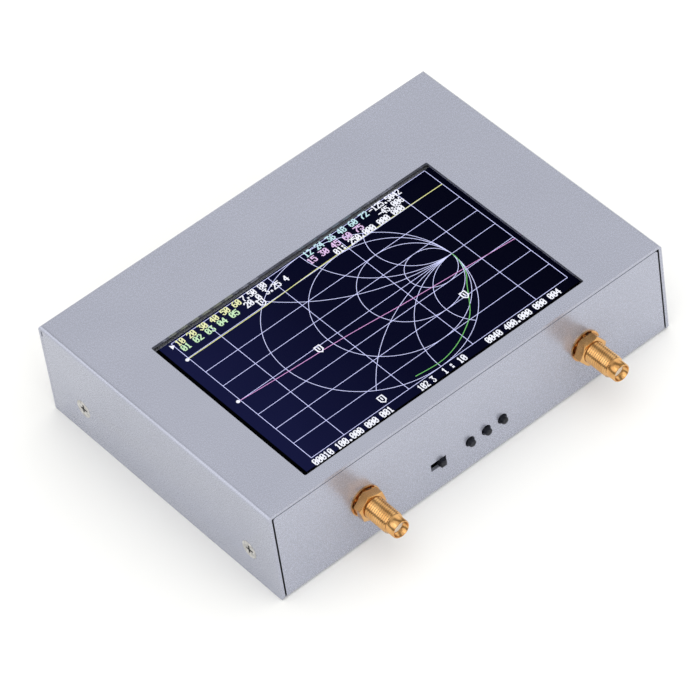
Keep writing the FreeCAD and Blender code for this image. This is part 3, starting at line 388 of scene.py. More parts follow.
@dataclass(frozen=True)
class ScrewSteel:
    """Bright steel screw heads, with painted shade down in the hollow of their drive cross."""

    light: Colour = seen(222, 220, 216)
    dark: Colour = seen(172, 170, 166)
    # Painted shade: the dark colour down in the hollow of the drive cross, where shade falls.
    recess_shade: Colour = seen(34, 32, 30)
    head_face: float = 66.02 * MM
    marks: float = 0.2 * MM
    stains: float = 1.2 * MM
    contrast: Span = (0.35, 0.65)
    roughness: float = 0.26
    swing: float = 0.12
    depth: float = 0.002 * MM

    def make(self) -> bpy.types.Material:
        """Makes the steel's material.

        Returns:
            The material.
        """
        shader = Shader("screw_steel")
        across = shader.axis("X")
        outside = across * across > self.head_face**2
        lines = shader.noise(self.marks)
        stain = shader.noise(self.stains, detail=3.0).ramp(*self.contrast)
        metal = shader.mix(stain, self.dark, self.light)
        # Inside the head's face the colour is the painted shade; outside it, the steel.
        return shader.surface({
            "Base Color": shader.mix(outside, self.recess_shade, metal),
            "Roughness": lines.around(self.roughness, self.swing),
            "Metallic": 1.0,
            "Normal": shader.bump(lines, self.depth),
        })


@dataclass(frozen=True)
class MouldedPlastic:
    """Moulded plastic with the faint grain of its mould."""

    name: str
    colour: Colour
    worn: Colour
    roughness: float
    gloss: float = 0.5
    grain: float = 0.14 * MM
    wear: float = 1.8 * MM
    contrast: Span = (0.40, 0.75)
    swing: float = 0.2
    depth: float = 0.008 * MM

    def make(self) -> bpy.types.Material:
        """Makes the plastic's material.

        Returns:
            The material.
        """
        shader = Shader(self.name)
        grain = shader.noise(self.grain, detail=3.0)
        patch = shader.noise(self.wear)
        return shader.surface({
            "Base Color": shader.mix(patch.ramp(*self.contrast), self.colour, self.worn),
            "Roughness": grain.around(self.roughness, self.swing),
            "Specular IOR Level": self.gloss,
            "Normal": shader.bump(grain, self.depth),
        })


@dataclass(frozen=True)
class BoardLaminate:
    """Glass-fibre board under a green solder mask, with copper tracks showing through."""

    mask: Colour = seen(24, 92, 62)
    track: Colour = seen(46, 128, 84)
    pad: Colour = seen(214, 196, 130)
    pitch: float = 2.4 * MM
    gap: float = 0.8 * MM
    cross_pitch: float = 4.08 * MM
    cross_gap: float = 1.5 * MM
    areas: float = 14 * MM
    pads: float = 3.6 * MM
    pad_share: float = 0.13
    weave: float = 0.3 * MM
    weave_height: float = 0.2
    roughness: float = 0.375
    swing: float = 0.15
    depth: float = 0.03 * MM

    def make(self) -> bpy.types.Material:
        """Makes the board's material.

        Returns:
            The material.
        """
        shader = Shader("board_laminate")
        along = shader.axis("X").wave(self.pitch) - self.gap
        across = shader.axis("Y").wave(self.cross_pitch) - self.cross_gap
        area = shader.noise(self.areas, detail=1.0) > 0.5
        tracks = (area * along + (1.0 - area) * across) > 0.0
        pads = shader.cells(self.pads) < self.pad_share
        weave = shader.noise(self.weave)
        return shader.surface({
            "Base Color": shader.mix(pads, shader.mix(tracks, self.mask, self.track), self.pad),
            "Roughness": weave.around(self.roughness, self.swing),
            "Normal": shader.bump(tracks + weave * self.weave_height, self.depth),
        })


@dataclass(frozen=True)
class TouchGlass:
    """Clear touch panel with a faint tint, a little deeper where it was wiped."""

    clean: Colour = (0.985, 0.985, 0.99)
    wiped: Colour = (0.955, 0.96, 0.97)
    smears: float = 18 * MM
    contrast: Span = (0.45, 0.75)

    def make(self) -> bpy.types.Material:
        """Makes the glass's material.

        Returns:
            The material.
        """
        shader = Shader("touch_glass")
        smear = shader.noise(self.smears, detail=4.0).ramp(*self.contrast)
        clean = shader.node("ShaderNodeBsdfTransparent", {}, {"Color": self.clean})
        wiped = shader.node("ShaderNodeBsdfTransparent", {}, {"Color": self.wiped})
        parts = {0: smear, 1: clean.outputs[0], 2: wiped.outputs[0]}
        shader.close(shader.node("ShaderNodeMixShader", {}, parts))
        return shader.material


@dataclass(frozen=True)
class LitBackground:
    """The display's dark field, a deep blue that fades to black to the right, in a black border."""

    near: Colour = seen(25, 28, 67)
    middle: Colour = seen(9, 11, 38)
    far: Colour = seen(3, 4, 19)
    turn: float = 0.45
    left: float = -51.6 * MM
    width: float = 98.3 * MM
    lit_left: float = -48.05 * MM
    lit_front: float = -40.38 * MM
    border: Colour = (0.0, 0.0, 0.0)
    unlit: Colour = (0.0004, 0.0004, 0.0006)
    gloss: float = 0.005
    haze: float = 30 * MM
    haze_dim: float = 0.2
    roughness: float = 0.25
    swing: float = 0.1

    def make(self) -> bpy.types.Material:
        """Makes the field's material.

        Returns:
            The material.
        """
        shader = Shader("lit_background")
        along = (shader.axis("X") - self.left) * (1 / self.width)
        stops = [(0.0, self.near), (self.turn, self.middle), (1.0, self.far)]
        field_colour = shader.node("ShaderNodeValToRGB", {"stops": stops}, {0: along}).outputs[0]
        haze = shader.noise(self.haze, detail=1.0)
        in_field = (shader.axis("X") > self.lit_left) * (shader.axis("Y") > self.lit_front)
        lit = in_field * (1.0 - haze * self.haze_dim)
        return shader.surface({
            "Base Color": self.unlit,
            "Specular IOR Level": self.gloss,
            "Roughness": haze.around(self.roughness, self.swing),
            "Emission Color": shader.mix(lit, self.border, field_colour),
            "Emission Strength": 1.0,
        })


@dataclass(frozen=True)
class PictureInk:
    """One glowing colour of the display's picture, broken up by its fine dots."""

    name: str
    colour: Colour
    strength: float = 1.0
    dots: float = 0.25 * MM
    dim: float = 0.75
    contrast: Span = (0.3, 0.7)
    unlit: Colour = (0.01, 0.01, 0.01)
    gloss: float = 0.1
    roughness: float = 0.45
    swing: float = 0.1

    def make(self) -> bpy.types.Material:
        """Makes the colour's material.

        Returns:
            The material.
        """
        shader = Shader(self.name)
        dots = shader.noise(self.dots, detail=1.0)
        dimmed = tuple(level * self.dim for level in self.colour)
        return shader.surface({
            "Base Color": self.unlit,
            "Roughness": dots.around(self.roughness, self.swing),
            "Specular IOR Level": self.gloss,
            "Emission Color": shader.mix(dots.ramp(*self.contrast), dimmed, self.colour),
            "Emission Strength": self.strength,
        })


@dataclass(frozen=True)
class LightGuide:
    """Frosted acrylic with a printed pattern of fine white dots."""

    colour: Colour = seen(226, 232, 236)
    dot: Colour = seen(250, 251, 252)
    pitch: float = 0.8 * MM
    dot_edge: Span = (0.25, 0.35)
    roughness: float = 0.3
    swing: float = 0.3
    depth: float = 0.01 * MM

    def make(self) -> bpy.types.Material:
        """Makes the acrylic's material.

        Returns:
            The material.
        """
        shader = Shader("light_guide")
        dots = 1.0 - shader.cells(self.pitch).ramp(*self.dot_edge)
        return shader.surface({
            "Base Color": shader.mix(dots, self.colour, self.dot),
            "Roughness": dots.around(self.roughness, self.swing),
            "Normal": shader.bump(dots, self.depth),
        })


@dataclass(frozen=True)
class FoamPad:
    """Black closed-cell foam, with painted shade down in its cells."""

    wall: Colour = seen(34, 34, 36)
    # Painted shade: the darker colour down in each cell.
    pit_shade: Colour = seen(12, 12, 13)
    cell: float = 0.28 * MM
    contrast: Span = (0.2, 0.7)
    roughness: float = 0.9
    swing: float = 0.1
    depth: float = 0.05 * MM

    def make(self) -> bpy.types.Material:
        """Makes the foam's material.

        Returns:
            The material.
        """
        shader = Shader("foam_pad")
        cells = shader.cells(self.cell)
        return shader.surface({
            # The colour goes to the painted shade where the bump dips into a cell.
            "Base Color": shader.mix(cells.ramp(*self.contrast), self.pit_shade, self.wall),
            "Roughness": cells.around(self.roughness, self.swing),
            "Normal": shader.bump(cells, self.depth),
        })


@dataclass(frozen=True)
class RibbonFilm:
    """Amber polyimide film over a row of copper conductors."""

    film: Colour = seen(176, 104, 30)
    copper: Colour = seen(206, 138, 60)
    pitch: float = 0.6 * MM
    lane_edge: Span = (0.12 * MM, 0.18 * MM)
    clouds: float = 4 * MM
    roughness: float = 0.32
    swing: float = 0.2
    depth: float = 0.02 * MM

    def make(self) -> bpy.types.Material:
        """Makes the film's material.

        Returns:
            The material.
        """
        shader = Shader("ribbon_film")
        lanes = shader.axis("Y").wave(self.pitch).ramp(*self.lane_edge)
        cloud = shader.noise(self.clouds)
        return shader.surface({
            "Base Color": shader.mix(lanes, self.film, self.copper),
            "Roughness": cloud.around(self.roughness, self.swing),
            "Normal": shader.bump(lanes, self.depth),
        })


@dataclass(frozen=True)
class CellFoil:
    """Crinkled silver laminate of a pouch battery."""

    light: Colour = seen(198, 200, 204)
    dark: Colour = seen(160, 163, 168)
    folds: float = 5 * MM
    contrast: Span = (0.35, 0.65)
    metallic: float = 0.85
    roughness: float = 0.325
    swing: float = 0.25
    depth: float = 0.35 * MM

    def make(self) -> bpy.types.Material:
        """Makes the foil's material.

        Returns:
            The material.
        """
        shader = Shader("cell_foil")
        folds = shader.noise(self.folds, detail=5.0)
        return shader.surface({
            "Base Color": shader.mix(folds.ramp(*self.contrast), self.dark, self.light),
            "Roughness": folds.around(self.roughness, self.swing),
            "Metallic": self.metallic,
            "Normal": shader.bump(folds, self.depth),
        })


class Finish(Enum):
    """Every finish that a piece of the object can have."""

    PAINT = SilverCoat()
    GOLD = PlatedMetal("gold_plate", seen(224, 174, 110), seen(206, 152, 88), 0.22, 0.5)
    BRIGHT_STEEL = PlatedMetal("bright_steel", seen(226, 226, 230), seen(196, 197, 202), 0.22)
    SCREW_STEEL = ScrewSteel()
    ZINC_STEEL = PlatedMetal("zinc_steel", seen(190, 192, 188), seen(158, 162, 160), 0.38)
    NICKEL_BRASS = PlatedMetal("nickel_brass", seen(206, 200, 186), seen(180, 174, 160), 0.3)
    TINNED = PlatedMetal("tinned_metal", seen(186, 188, 192), seen(152, 154, 160), 0.34)
    DARK_STEEL = PlatedMetal("dark_steel", seen(58, 58, 63), seen(44, 44, 49), 0.42)
    BLACK_PLASTIC = MouldedPlastic("black_plastic", seen(20, 22, 29), seen(29, 31, 39), 0.42, 0.22)
    MATT_TIN = MouldedPlastic("matt_tin", seen(110, 111, 115), seen(100, 101, 105), 0.55, 0.2)
    WHITE_INSULATOR = MouldedPlastic("white_insulator", seen(234, 226, 210), seen(222, 210, 190), 0.5)
    IVORY_PLASTIC = MouldedPlastic("ivory_plastic", seen(232, 224, 200), seen(220, 208, 178), 0.5)
    WIRE_JACKET = MouldedPlastic("wire_jacket", seen(172, 28, 24), seen(150, 22, 20), 0.45)
    CERAMIC = MouldedPlastic("ceramic_chip", seen(178, 152, 118), seen(150, 124, 92), 0.5)
    BOARD = BoardLaminate()
    TOUCH_GLASS = TouchGlass()
    DISPLAY = LitBackground()
    LIGHT_GUIDE = LightGuide()
    FOAM = FoamPad()
    FILM = RibbonFilm()
    FOIL = CellFoil()
    GRID_INK = PictureInk("grid_ink", seen(206, 210, 255), 1.42)
    CHART_INK = PictureInk("chart_ink", seen(206, 210, 250), 1.42)
    YELLOW_INK = PictureInk("yellow_ink", seen(230, 232, 156), 1.2)
    MAGENTA_INK = PictureInk("magenta_ink", seen(222, 160, 222), 1.15)
    GREEN_INK = PictureInk("green_ink", seen(120, 208, 112))
    PALE_YELLOW_INK = PictureInk("pale_yellow_ink", seen(238, 242, 184), 1.2)
    PALE_MAGENTA_INK = PictureInk("pale_magenta_ink", seen(228, 196, 238), 1.2)
    PALE_GREEN_INK = PictureInk("pale_green_ink", seen(206, 242, 194), 1.2)
    PALE_CYAN_INK = PictureInk("pale_cyan_ink", seen(198, 234, 240), 1.2)
    WHITE_INK = PictureInk("white_ink", seen(244, 246, 255), 1.25)


class Dresser:
    """Makes each finish once, and puts pieces and finishes in their places."""

    def __init__(self) -> None:
        """Starts with no finish made."""
        self.made: dict[Finish, bpy.types.Material] = {}

    def material(self, finish: Finish) -> bpy.types.Material:
        """Gives the material of a finish, which is made when it is first asked for.

        Args:
            finish: The finish.

        Returns:
            The material.
        """
        if finish not in self.made:
            self.made[finish] = finish.value.make()
        return self.made[finish]

    def paint(self, finish: Finish, *nodes: str) -> None:
        """Gives a finish to solids that keep their own shape.

        Args:
            finish: The finish.
            nodes: The names of the solids.
        """
        for node in nodes:
            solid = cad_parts[node]
            for holder in solid.material_slots:
                holder.material = self.material(finish)
            log.info("%s: %s", node, finish.name.lower())

    def mount(self, piece: bpy.types.Object, body: Body, finish: Finish, slot: str, *stands_for: str) -> None:
        """Puts a new piece on its body.

        Args:
            piece: The piece, in its place.
            body: What it rides on.
            finish: Its finish.
            slot: The record's name for the finish; not used.
            stands_for: The solids that it replaces.
        """
        piece.data.materials.clear()
        piece.data.materials.append(self.material(finish))
        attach(piece, body.value)
        if stands_for:
            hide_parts(*stands_for)
        log.info("%s: %d faces on %s", piece.name, len(piece.data.polygons), body.value)


def from_bmesh(name: str, work: bmesh.types.BMesh, sharp: float) -> bpy.types.Object:
    """Closes a mesh in the making and puts it into the scene.

    Args:
        name: The piece's name.
        work: The mesh in the making, which is freed.
        sharp: The angle in degrees from which an edge stays sharp.

    Returns:
        The piece, at the origin.
    """
    bmesh.ops.recalc_face_normals(work, faces=work.faces)
    mesh = bpy.data.meshes.new(name)
    work.to_mesh(mesh)
    work.free()
    mesh.shade_smooth()
    mesh.set_sharp_from_angle(angle=math.radians(sharp))
    piece = bpy.data.objects.new(name, mesh)
    bpy.context.scene.collection.objects.link(piece)
    return piece


def copied(node: str) -> bmesh.types.BMesh:
    """Copies a solid's mesh and welds it.

    Args:
        node: The solid.

    Returns:
        The copy, as a mesh in the making.
    """
    work = bmesh.new()
    work.from_mesh(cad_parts[node].data)
    bmesh.ops.remove_doubles(work, verts=work.verts, dist=WELD)
    return work


def eased(node: str, name: str, width: float) -> bpy.types.Object:
    """Copies a solid and rounds its sharp edges a little.

    Args:
        node: The solid.
        name: The new piece's name.
        width: The width that is taken off each edge, in metres.

    Returns:
        The piece, with its solid's shape and size.
    """
    work = copied(node)
    flat = math.radians(FLAT_BELOW)
    bmesh.ops.dissolve_limit(work, angle_limit=flat, verts=work.verts, edges=work.edges)
    piece = from_bmesh(name, work, SHARP_FROM)
    rounding = piece.modifiers.new("eased_edges", "BEVEL")
    rounding.width = width
    rounding.segments = ROUNDING_STEPS
    rounding.limit_method = "ANGLE"
    rounding.angle_limit = math.radians(ROUNDED_FROM)
    rounding.harden_normals = True
    view = bpy.context.evaluated_depsgraph_get()
    rounded = bpy.data.meshes.new_from_object(piece.evaluated_get(view))
    low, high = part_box(node)
    for vertex in rounded.vertices:
        vertex.co = [min(max(value, least), most) for value, least, most in zip(vertex.co, low, high)]
    piece.modifiers.clear()
    piece.data = rounded
    return piece


@dataclass
class Housing:
    """The folded cover and tray, with the screws that hold them."""

    edge: float = 0.1 * MM

    def build(self, dresser: Dresser) -> None:
        """Makes the two sheets with eased edges and dresses the fasteners.

        Args:
            dresser: What gives the pieces their finishes.
        """
        for node, name in (("top_cover", "folded_cover"), ("chassis_tray", "folded_tray")):
            dresser.mount(eased(node, name, self.edge), Body.CASE, Finish.PAINT, "powder_coat", node)
        dresser.paint(Finish.SCREW_STEEL, "side_screws")
        dresser.paint(Finish.BRIGHT_STEEL, "floor_screws", "display_screws")
        dresser.paint(Finish.ZINC_STEEL, "flange_nuts")
        dresser.paint(Finish.NICKEL_BRASS, "lower_posts", "upper_posts")


@dataclass
class CoaxJack:
    """A gold jack with a cut thread, its nut, washer, sleeve and contact."""

    side: Side
    front: float = -47.6 * MM
    cut: float = 0.75 * MM
    crest: float = 3.175 * MM
    root: float = 2.76 * MM
    pitch: float = 25.4 * MM / 36
    shoulder: float = 11.6 * MM
    chamfer: float = 0.2 * MM
    nose: float = 2.7 * MM
    reach: float = 14.4 * MM
    mouth: float = 2.3 * MM
    mouth_depth: float = 1.9 * MM
    lip: float = 0.08 * MM
    core: float = 2.05 * MM
    lead_slope: float = 0.9
    nut_edge: float = 0.08 * MM
    sharp: float = 32
    columns: int = 56
    profile: tuple[Point, ...] = ((0.0, 1.0), (0.15, 1.0), (0.46, 0.0), (0.66, 0.0))
    centre: Vector = field(init=False)

    def thread_radius(self, share: float, out: float) -> float:
        """The thread's radius, cut back at its two ends.

        Args:
            share: Nought at the root, one at the crest.
            out: The distance out from the panel.

        Returns:
            The radius.
        """
        height = self.root + (self.crest - self.root) * share
        lead = max(self.nose, self.root + (self.shoulder - out) * self.lead_slope)
        return min(height, lead)

    def thread_rows(self) -> list[list[Vector]]:
        """The rows of the thread, each climbing one pitch in a turn and held at the two faces.

        Returns:
            The rows from the panel outwards, the last one flat at the shoulder.
        """
        start = -self.cut
        turns = math.ceil((self.shoulder - start) / self.pitch) + 1
        rows = []
        for turn in range(turns):
            for step, share in self.profile:
                level = start + (turn - 1 + step) * self.pitch
                rows.append([self.thread_point(level, share, column) for column in range(self.columns)])
        rows.append([self.ring_point(self.shoulder, self.root, column) for column in range(self.columns)])
        return rows

    def thread_point(self, level: float, share: float, column: int) -> Vector:
        """One point of a row.

        Args:
            level: The row's distance out at the first column.
            share: Nought at the root, one at the crest.
            column: The column.

        Returns:
            The point, held between the thread's two ends.
        """
        out = level + self.pitch * column / self.columns
        if out <= -self.cut:
            return self.ring_point(-self.cut, self.root, column)
        if out >= self.shoulder:
            return self.ring_point(self.shoulder, self.root, column)
        return self.ring_point(out, self.thread_radius(share, out), column)

    def ring_point(self, out: float, radius: float, column: int) -> Vector:
        """One point of a ring round the jack's middle line.

        Args:
            out: The distance out from the panel.
            radius: The ring's radius.
            column: The column.

        Returns:
            The point.
        """
        angle = 2 * math.pi * column / self.columns
        return Vector((
            self.centre.x + radius * math.cos(angle),
            self.front - out,
            self.centre.z + radius * math.sin(angle),
        ))

    def plain_rings(self) -> list[Point]:
        """The smooth rings past the thread, round the nose and down the bore.

        Returns:
            Each ring's distance out and radius.
        """
        floor = self.reach - self.mouth_depth
        return [
            (self.shoulder, self.nose),
            (self.reach - self.chamfer, self.nose),
            (self.reach, self.nose - self.chamfer),
            (self.reach, self.mouth + self.lip),
            (self.reach - self.lip, self.mouth),
            (floor, self.mouth),
            (floor, self.core),
            (-self.cut, self.core),
            (-self.cut, self.root),
        ]

    def barrel(self, work: bmesh.types.BMesh) -> None:
        """Adds the threaded barrel as one closed skin.

        Args:
            work: The mesh in the making.
        """
        rows = self.thread_rows()
        last = len(rows) - 1
        for out, radius in self.plain_rings():
            rows.append([self.ring_point(out, radius, column) for column in range(self.columns)])
        grid = [[work.verts.new(place) for place in row] for row in rows]
        jump = len(self.profile)
        for index in range(len(grid) - 1):
            for column in range(self.columns):
                after = (column + 1) % self.columns
                wraps = after == 0 and index < last
                near = min(index + jump, last) if wraps else index
                far = min(index + 1 + jump, last) if wraps else index + 1
                corners = [grid[index][column], grid[near][after], grid[far][after], grid[index + 1][column]]
                if len(set(corners)) > 2:
                    work.faces.new(dict.fromkeys(corners))
        bmesh.ops.remove_doubles(work, verts=work.verts, dist=WELD)

    def root_half(self) -> bmesh.types.BMesh:
        """The flange and prongs behind the panel, cut off the solid and closed.

        Returns:
            The half, as a mesh in the making.
        """
        work = copied(f"jack_body_{self.side.value}")
        cut = bmesh.ops.bisect_plane(
            work,
            geom=work.verts[:] + work.edges[:] + work.faces[:],
            plane_co=Vector((0, self.front + self.cut, 0)),
            plane_no=Vector((0, -1, 0)),
            clear_outer=True,
        )
        rim = [piece for piece in cut["geom_cut"] if isinstance(piece, bmesh.types.BMEdge)]
        bmesh.ops.triangle_fill(work, use_beauty=True, edges=rim)
        return work

    def build(self, dresser: Dresser) -> None:
        """Makes the body and the nut and dresses the pieces around them.

        Args:
            dresser: What gives the pieces their finishes.
        """
        name = self.side.value
        low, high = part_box(f"jack_insulator_{name}")
        self.centre = (Vector(low) + Vector(high)) / 2
        work = self.root_half()
        barrel = bmesh.new()
        self.barrel(barrel)
        joined = bpy.data.meshes.new("barrel")
        barrel.to_mesh(joined)
        barrel.free()
        work.from_mesh(joined)
        bpy.data.meshes.remove(joined)
        body = from_bmesh(f"coax_body_{name}", work, self.sharp)
        dresser.mount(body, Body.CASE, Finish.GOLD, "gold_plate", f"jack_body_{name}")
        nut = eased(f"jack_nut_{name}", f"hex_nut_{name}", self.nut_edge)
        dresser.mount(nut, Body.CASE, Finish.GOLD, "gold_plate", f"jack_nut_{name}")
        dresser.paint(Finish.GOLD, f"jack_washer_{name}", f"jack_contact_{name}")
        dresser.paint(Finish.WHITE_INSULATOR, f"jack_insulator_{name}")


@dataclass
class Controls:
    """The slide switch and the three push buttons."""

    edge: float = 0.12 * MM

    def build(self, dresser: Dresser) -> None:
        """Makes the lever and the plungers with eased edges and dresses what holds them.

        Args:
            dresser: What gives the pieces their finishes.
        """
        lever = eased("power_switch_lever", "lever_knob", self.edge)
        dresser.mount(lever, Body.LEVER, Finish.BLACK_PLASTIC, "black_plastic", "power_switch_lever")
        for body in (Body.LEFT_BUTTON, Body.MIDDLE_BUTTON, Body.RIGHT_BUTTON):
            place = body.value.removeprefix("button_")
            cap = eased(f"button_plunger_{place}", f"button_cap_{place}", self.edge)
            dresser.mount(cap, body, Finish.BLACK_PLASTIC, "black_plastic", f"button_plunger_{place}")
            dresser.paint(Finish.BLACK_PLASTIC, f"button_housing_{place}")
        dresser.paint(Finish.BLACK_PLASTIC, "switch_base", "key_header")
        dresser.paint(Finish.DARK_STEEL, "switch_frame")
        dresser.paint(Finish.ZINC_STEEL, "button_domes")
        dresser.paint(Finish.TINNED, "switch_terminals", "button_legs")
        dresser.paint(Finish.BOARD, "key_board")


# A digit is seven rows of five dots, and a lit dot reaches a little past its own column.
DOTS_WIDE = 5
DOTS_TALL = 7
DIGIT_PITCH = 6
DOT_REACH = 1.7
DOT_FILL = 0.96
DIGIT_DOTS = {
    "0": (14, 17, 19, 21, 25, 17, 14),
    "1": (4, 12, 4, 4, 4, 4, 14),
    "2": (14, 17, 1, 2, 4, 8, 31),
    "3": (31, 2, 4, 2, 1, 17, 14),
    "4": (2, 6, 10, 18, 31, 2, 2),
    "5": (31, 16, 30, 1, 1, 17, 14),
    "6": (6, 8, 16, 30, 17, 17, 14),
    "7": (31, 1, 2, 4, 8, 8, 8),
    "8": (14, 17, 17, 14, 17, 17, 14),
    "9": (14, 17, 17, 15, 1, 2, 12),
    ".": (0, 0, 0, 0, 0, 12, 12),
    "-": (0, 0, 0, 31, 0, 0, 0),
    ":": (0, 12, 12, 0, 12, 12, 0),
}


def lit_runs(dots: int) -> list[tuple[int, int]]:
    """The runs of lit dots in a row of five.

    Args:
        dots: The row as five bits, the leftmost one the highest.

    Returns:
        The first and the last dot of each run.
    """
    runs = []
    for dot in range(DOTS_WIDE):
        if dots & (1 << (DOTS_WIDE - 1 - dot)):
            if runs and runs[-1][1] == dot - 1:
                runs[-1] = (runs[-1][0], dot)
            else:
                runs.append((dot, dot))
    return runs


class Picture:
    """Flat glowing strips on the display's face, placed from the centre of the picture."""

    def __init__(self, centre: Vector, tilt: float) -> None:
        """Starts an empty picture round a point of the face, turned anticlockwise by a tilt in degrees."""
        self.frame = Matrix.Translation(centre) @ Matrix.Rotation(math.radians(tilt), 4, "Z")
        self.work = bmesh.new()

    def strip(self, route: Sequence[Point], width: float, height: float, closed: bool = False) -> None:
        """Adds a flat strip along a route.

        Args:
            route: Points in mm from the picture's centre.
            width: The strip's width in mm.
            height: How far it stands off the face, in mm.
            closed: Whether the last point joins the first.
        """
        points = [Vector((u, v)) for u, v in route]
        sections = []
        for index, point in enumerate(points):
            before = points[index - 1] if closed or index else point
            after = points[(index + 1) % len(points)] if closed or index + 1 < len(points) else point
            along = (after - before).normalized()
            off = Vector((-along.y, along.x)) * width / 2
            sections.append(self.section(point + off, point - off, height))
        pairs = list(zip(sections, sections[1:]))
        if closed:
            pairs.append((sections[-1], sections[0]))
        for first, second in pairs:
            for side in range(len(first)):
                after = (side + 1) % len(first)
                self.work.faces.new((first[side], first[after], second[after], second[side]))
        if not closed:
            self.work.faces.new(sections[0])
            self.work.faces.new(sections[-1])

    def section(self, left: Vector, right: Vector, height: float) -> list[bmesh.types.BMVert]:
        """The four corners of a strip at one point."""
        corners = [(left, 0), (left, height), (right, height), (right, 0)]
        return [self.work.verts.new(self.frame @ Vector((p.x * MM, p.y * MM, z * MM))) for p, z in corners]

    def patch(self, corners: Iterable[Point], height: float) -> None:
        """Adds a flat filled shape.

        Args:
            corners: Its corners in mm from the picture's centre.
            height: How far it stands off the face, in mm.
        """
        places = [Vector((u * MM, v * MM, 0)) for u, v in corners]
        low = [self.work.verts.new(self.frame @ place) for place in places]
        high = [self.work.verts.new(self.frame @ (place + Vector((0, 0, height * MM)))) for place in places]
        self.work.faces.new(low)
        self.work.faces.new(high)
        for index in range(len(low)):
            after = (index + 1) % len(low)
            self.work.faces.new((low[index], low[after], high[after], high[index]))

    def numbers(self, text: str, span: Span, middle: float, tall: float, height: float) -> None:
        """Adds a line of plain numbers, drawn in dots and fitted to its width.

        Args:
            text: The characters.
            span: Where the line starts and ends, in mm from the picture's centre.
            middle: How far up from the centre its middle is, in mm.
            tall: The height of a digit, in mm.
            height: How far it stands off the face, in mm.
        """
        left, right = span
        wide = (right - left) / (DIGIT_PITCH * len(text) - 1)
        step = tall / DOTS_TALL
        for place, letter in enumerate(text):
            for row, dots in enumerate(DIGIT_DOTS.get(letter, ())):
                v = middle + tall / 2 - (row + 0.5) * step
                for first, last in lit_runs(dots):
                    start = left + (DIGIT_PITCH * place + first) * wide
                    end = left + (DIGIT_PITCH * place + last + DOT_REACH) * wide
                    self.strip([(start, v), (end, v)], step * DOT_FILL, height)

    def finish(self, name: str) -> bpy.types.Object:
        """Closes the picture's piece."""
        bmesh.ops.remove_doubles(self.work, verts=self.work.verts, dist=FINE_WELD)
        return from_bmesh(name, self.work, SHARP_FROM)


def arc(centre: Point, radius: float, start: float, end: float, step: float = 3.0) -> list[Point]:
    """Points along an arc.

    Args:
        centre: Its centre.
        radius: Its radius.
        start: Its first angle in degrees.
        end: Its last angle in degrees.
        step: The angle between points, at most.

    Returns:
        The points.
    """
    count = max(2, math.ceil(abs(end - start) / step))
    angles = [math.radians(start + (end - start) * index / count) for index in range(count + 1)]
    return [(centre[0] + radius * math.cos(a), centre[1] + radius * math.sin(a)) for a in angles]


def ring(centre: Point, radius: float, step: float) -> list[Point]:
    """Points round a whole circle, with a step in degrees between them."""
    return arc(centre, radius, 0, 360 - step, step)


def moved(points: Iterable[Point], by: Point) -> list[Point]:
    """The points, moved over the picture."""
    return [(u + by[0], v + by[1]) for u, v in points]


def between(four: Sequence[float], t: float) -> float:
    """A smooth curve's value at a share of the way from the second of four values to the third."""
    a, b, c, d = four
    return 0.5 * (2 * b + (c - a) * t + (2 * a - 5 * b + 4 * c - d) * t**2 + (3 * b - a - 3 * c + d) * t**3)


def smooth(points: Sequence[Point], parts: int = 8) -> list[Point]:
    """A smooth curve through some points.

    Args:
        points: The points.
        parts: The number of pieces between two points.

    Returns:
        The curve's points.
    """
    ends = [points[0], *points, points[-1]]
    curve = []
    for four in zip(ends, ends[1:], ends[2:], ends[3:]):
        for index in range(parts):
            curve.append(tuple(between(values, index / parts) for values in zip(*four)))
    curve.append(points[-1])
    return curve


@dataclass(frozen=True)
class Trace:
    """One curve on the display: its ink, its width and the points it passes, in mm."""

    ink: Finish
    width: float
    points: tuple[Point, ...]


@dataclass(frozen=True)
class Reading:
    """One line of numbers on the display: its ink, what it says, its two ends and its middle, in mm."""

    ink: Finish
    text: str
    span: Span
    middle: float


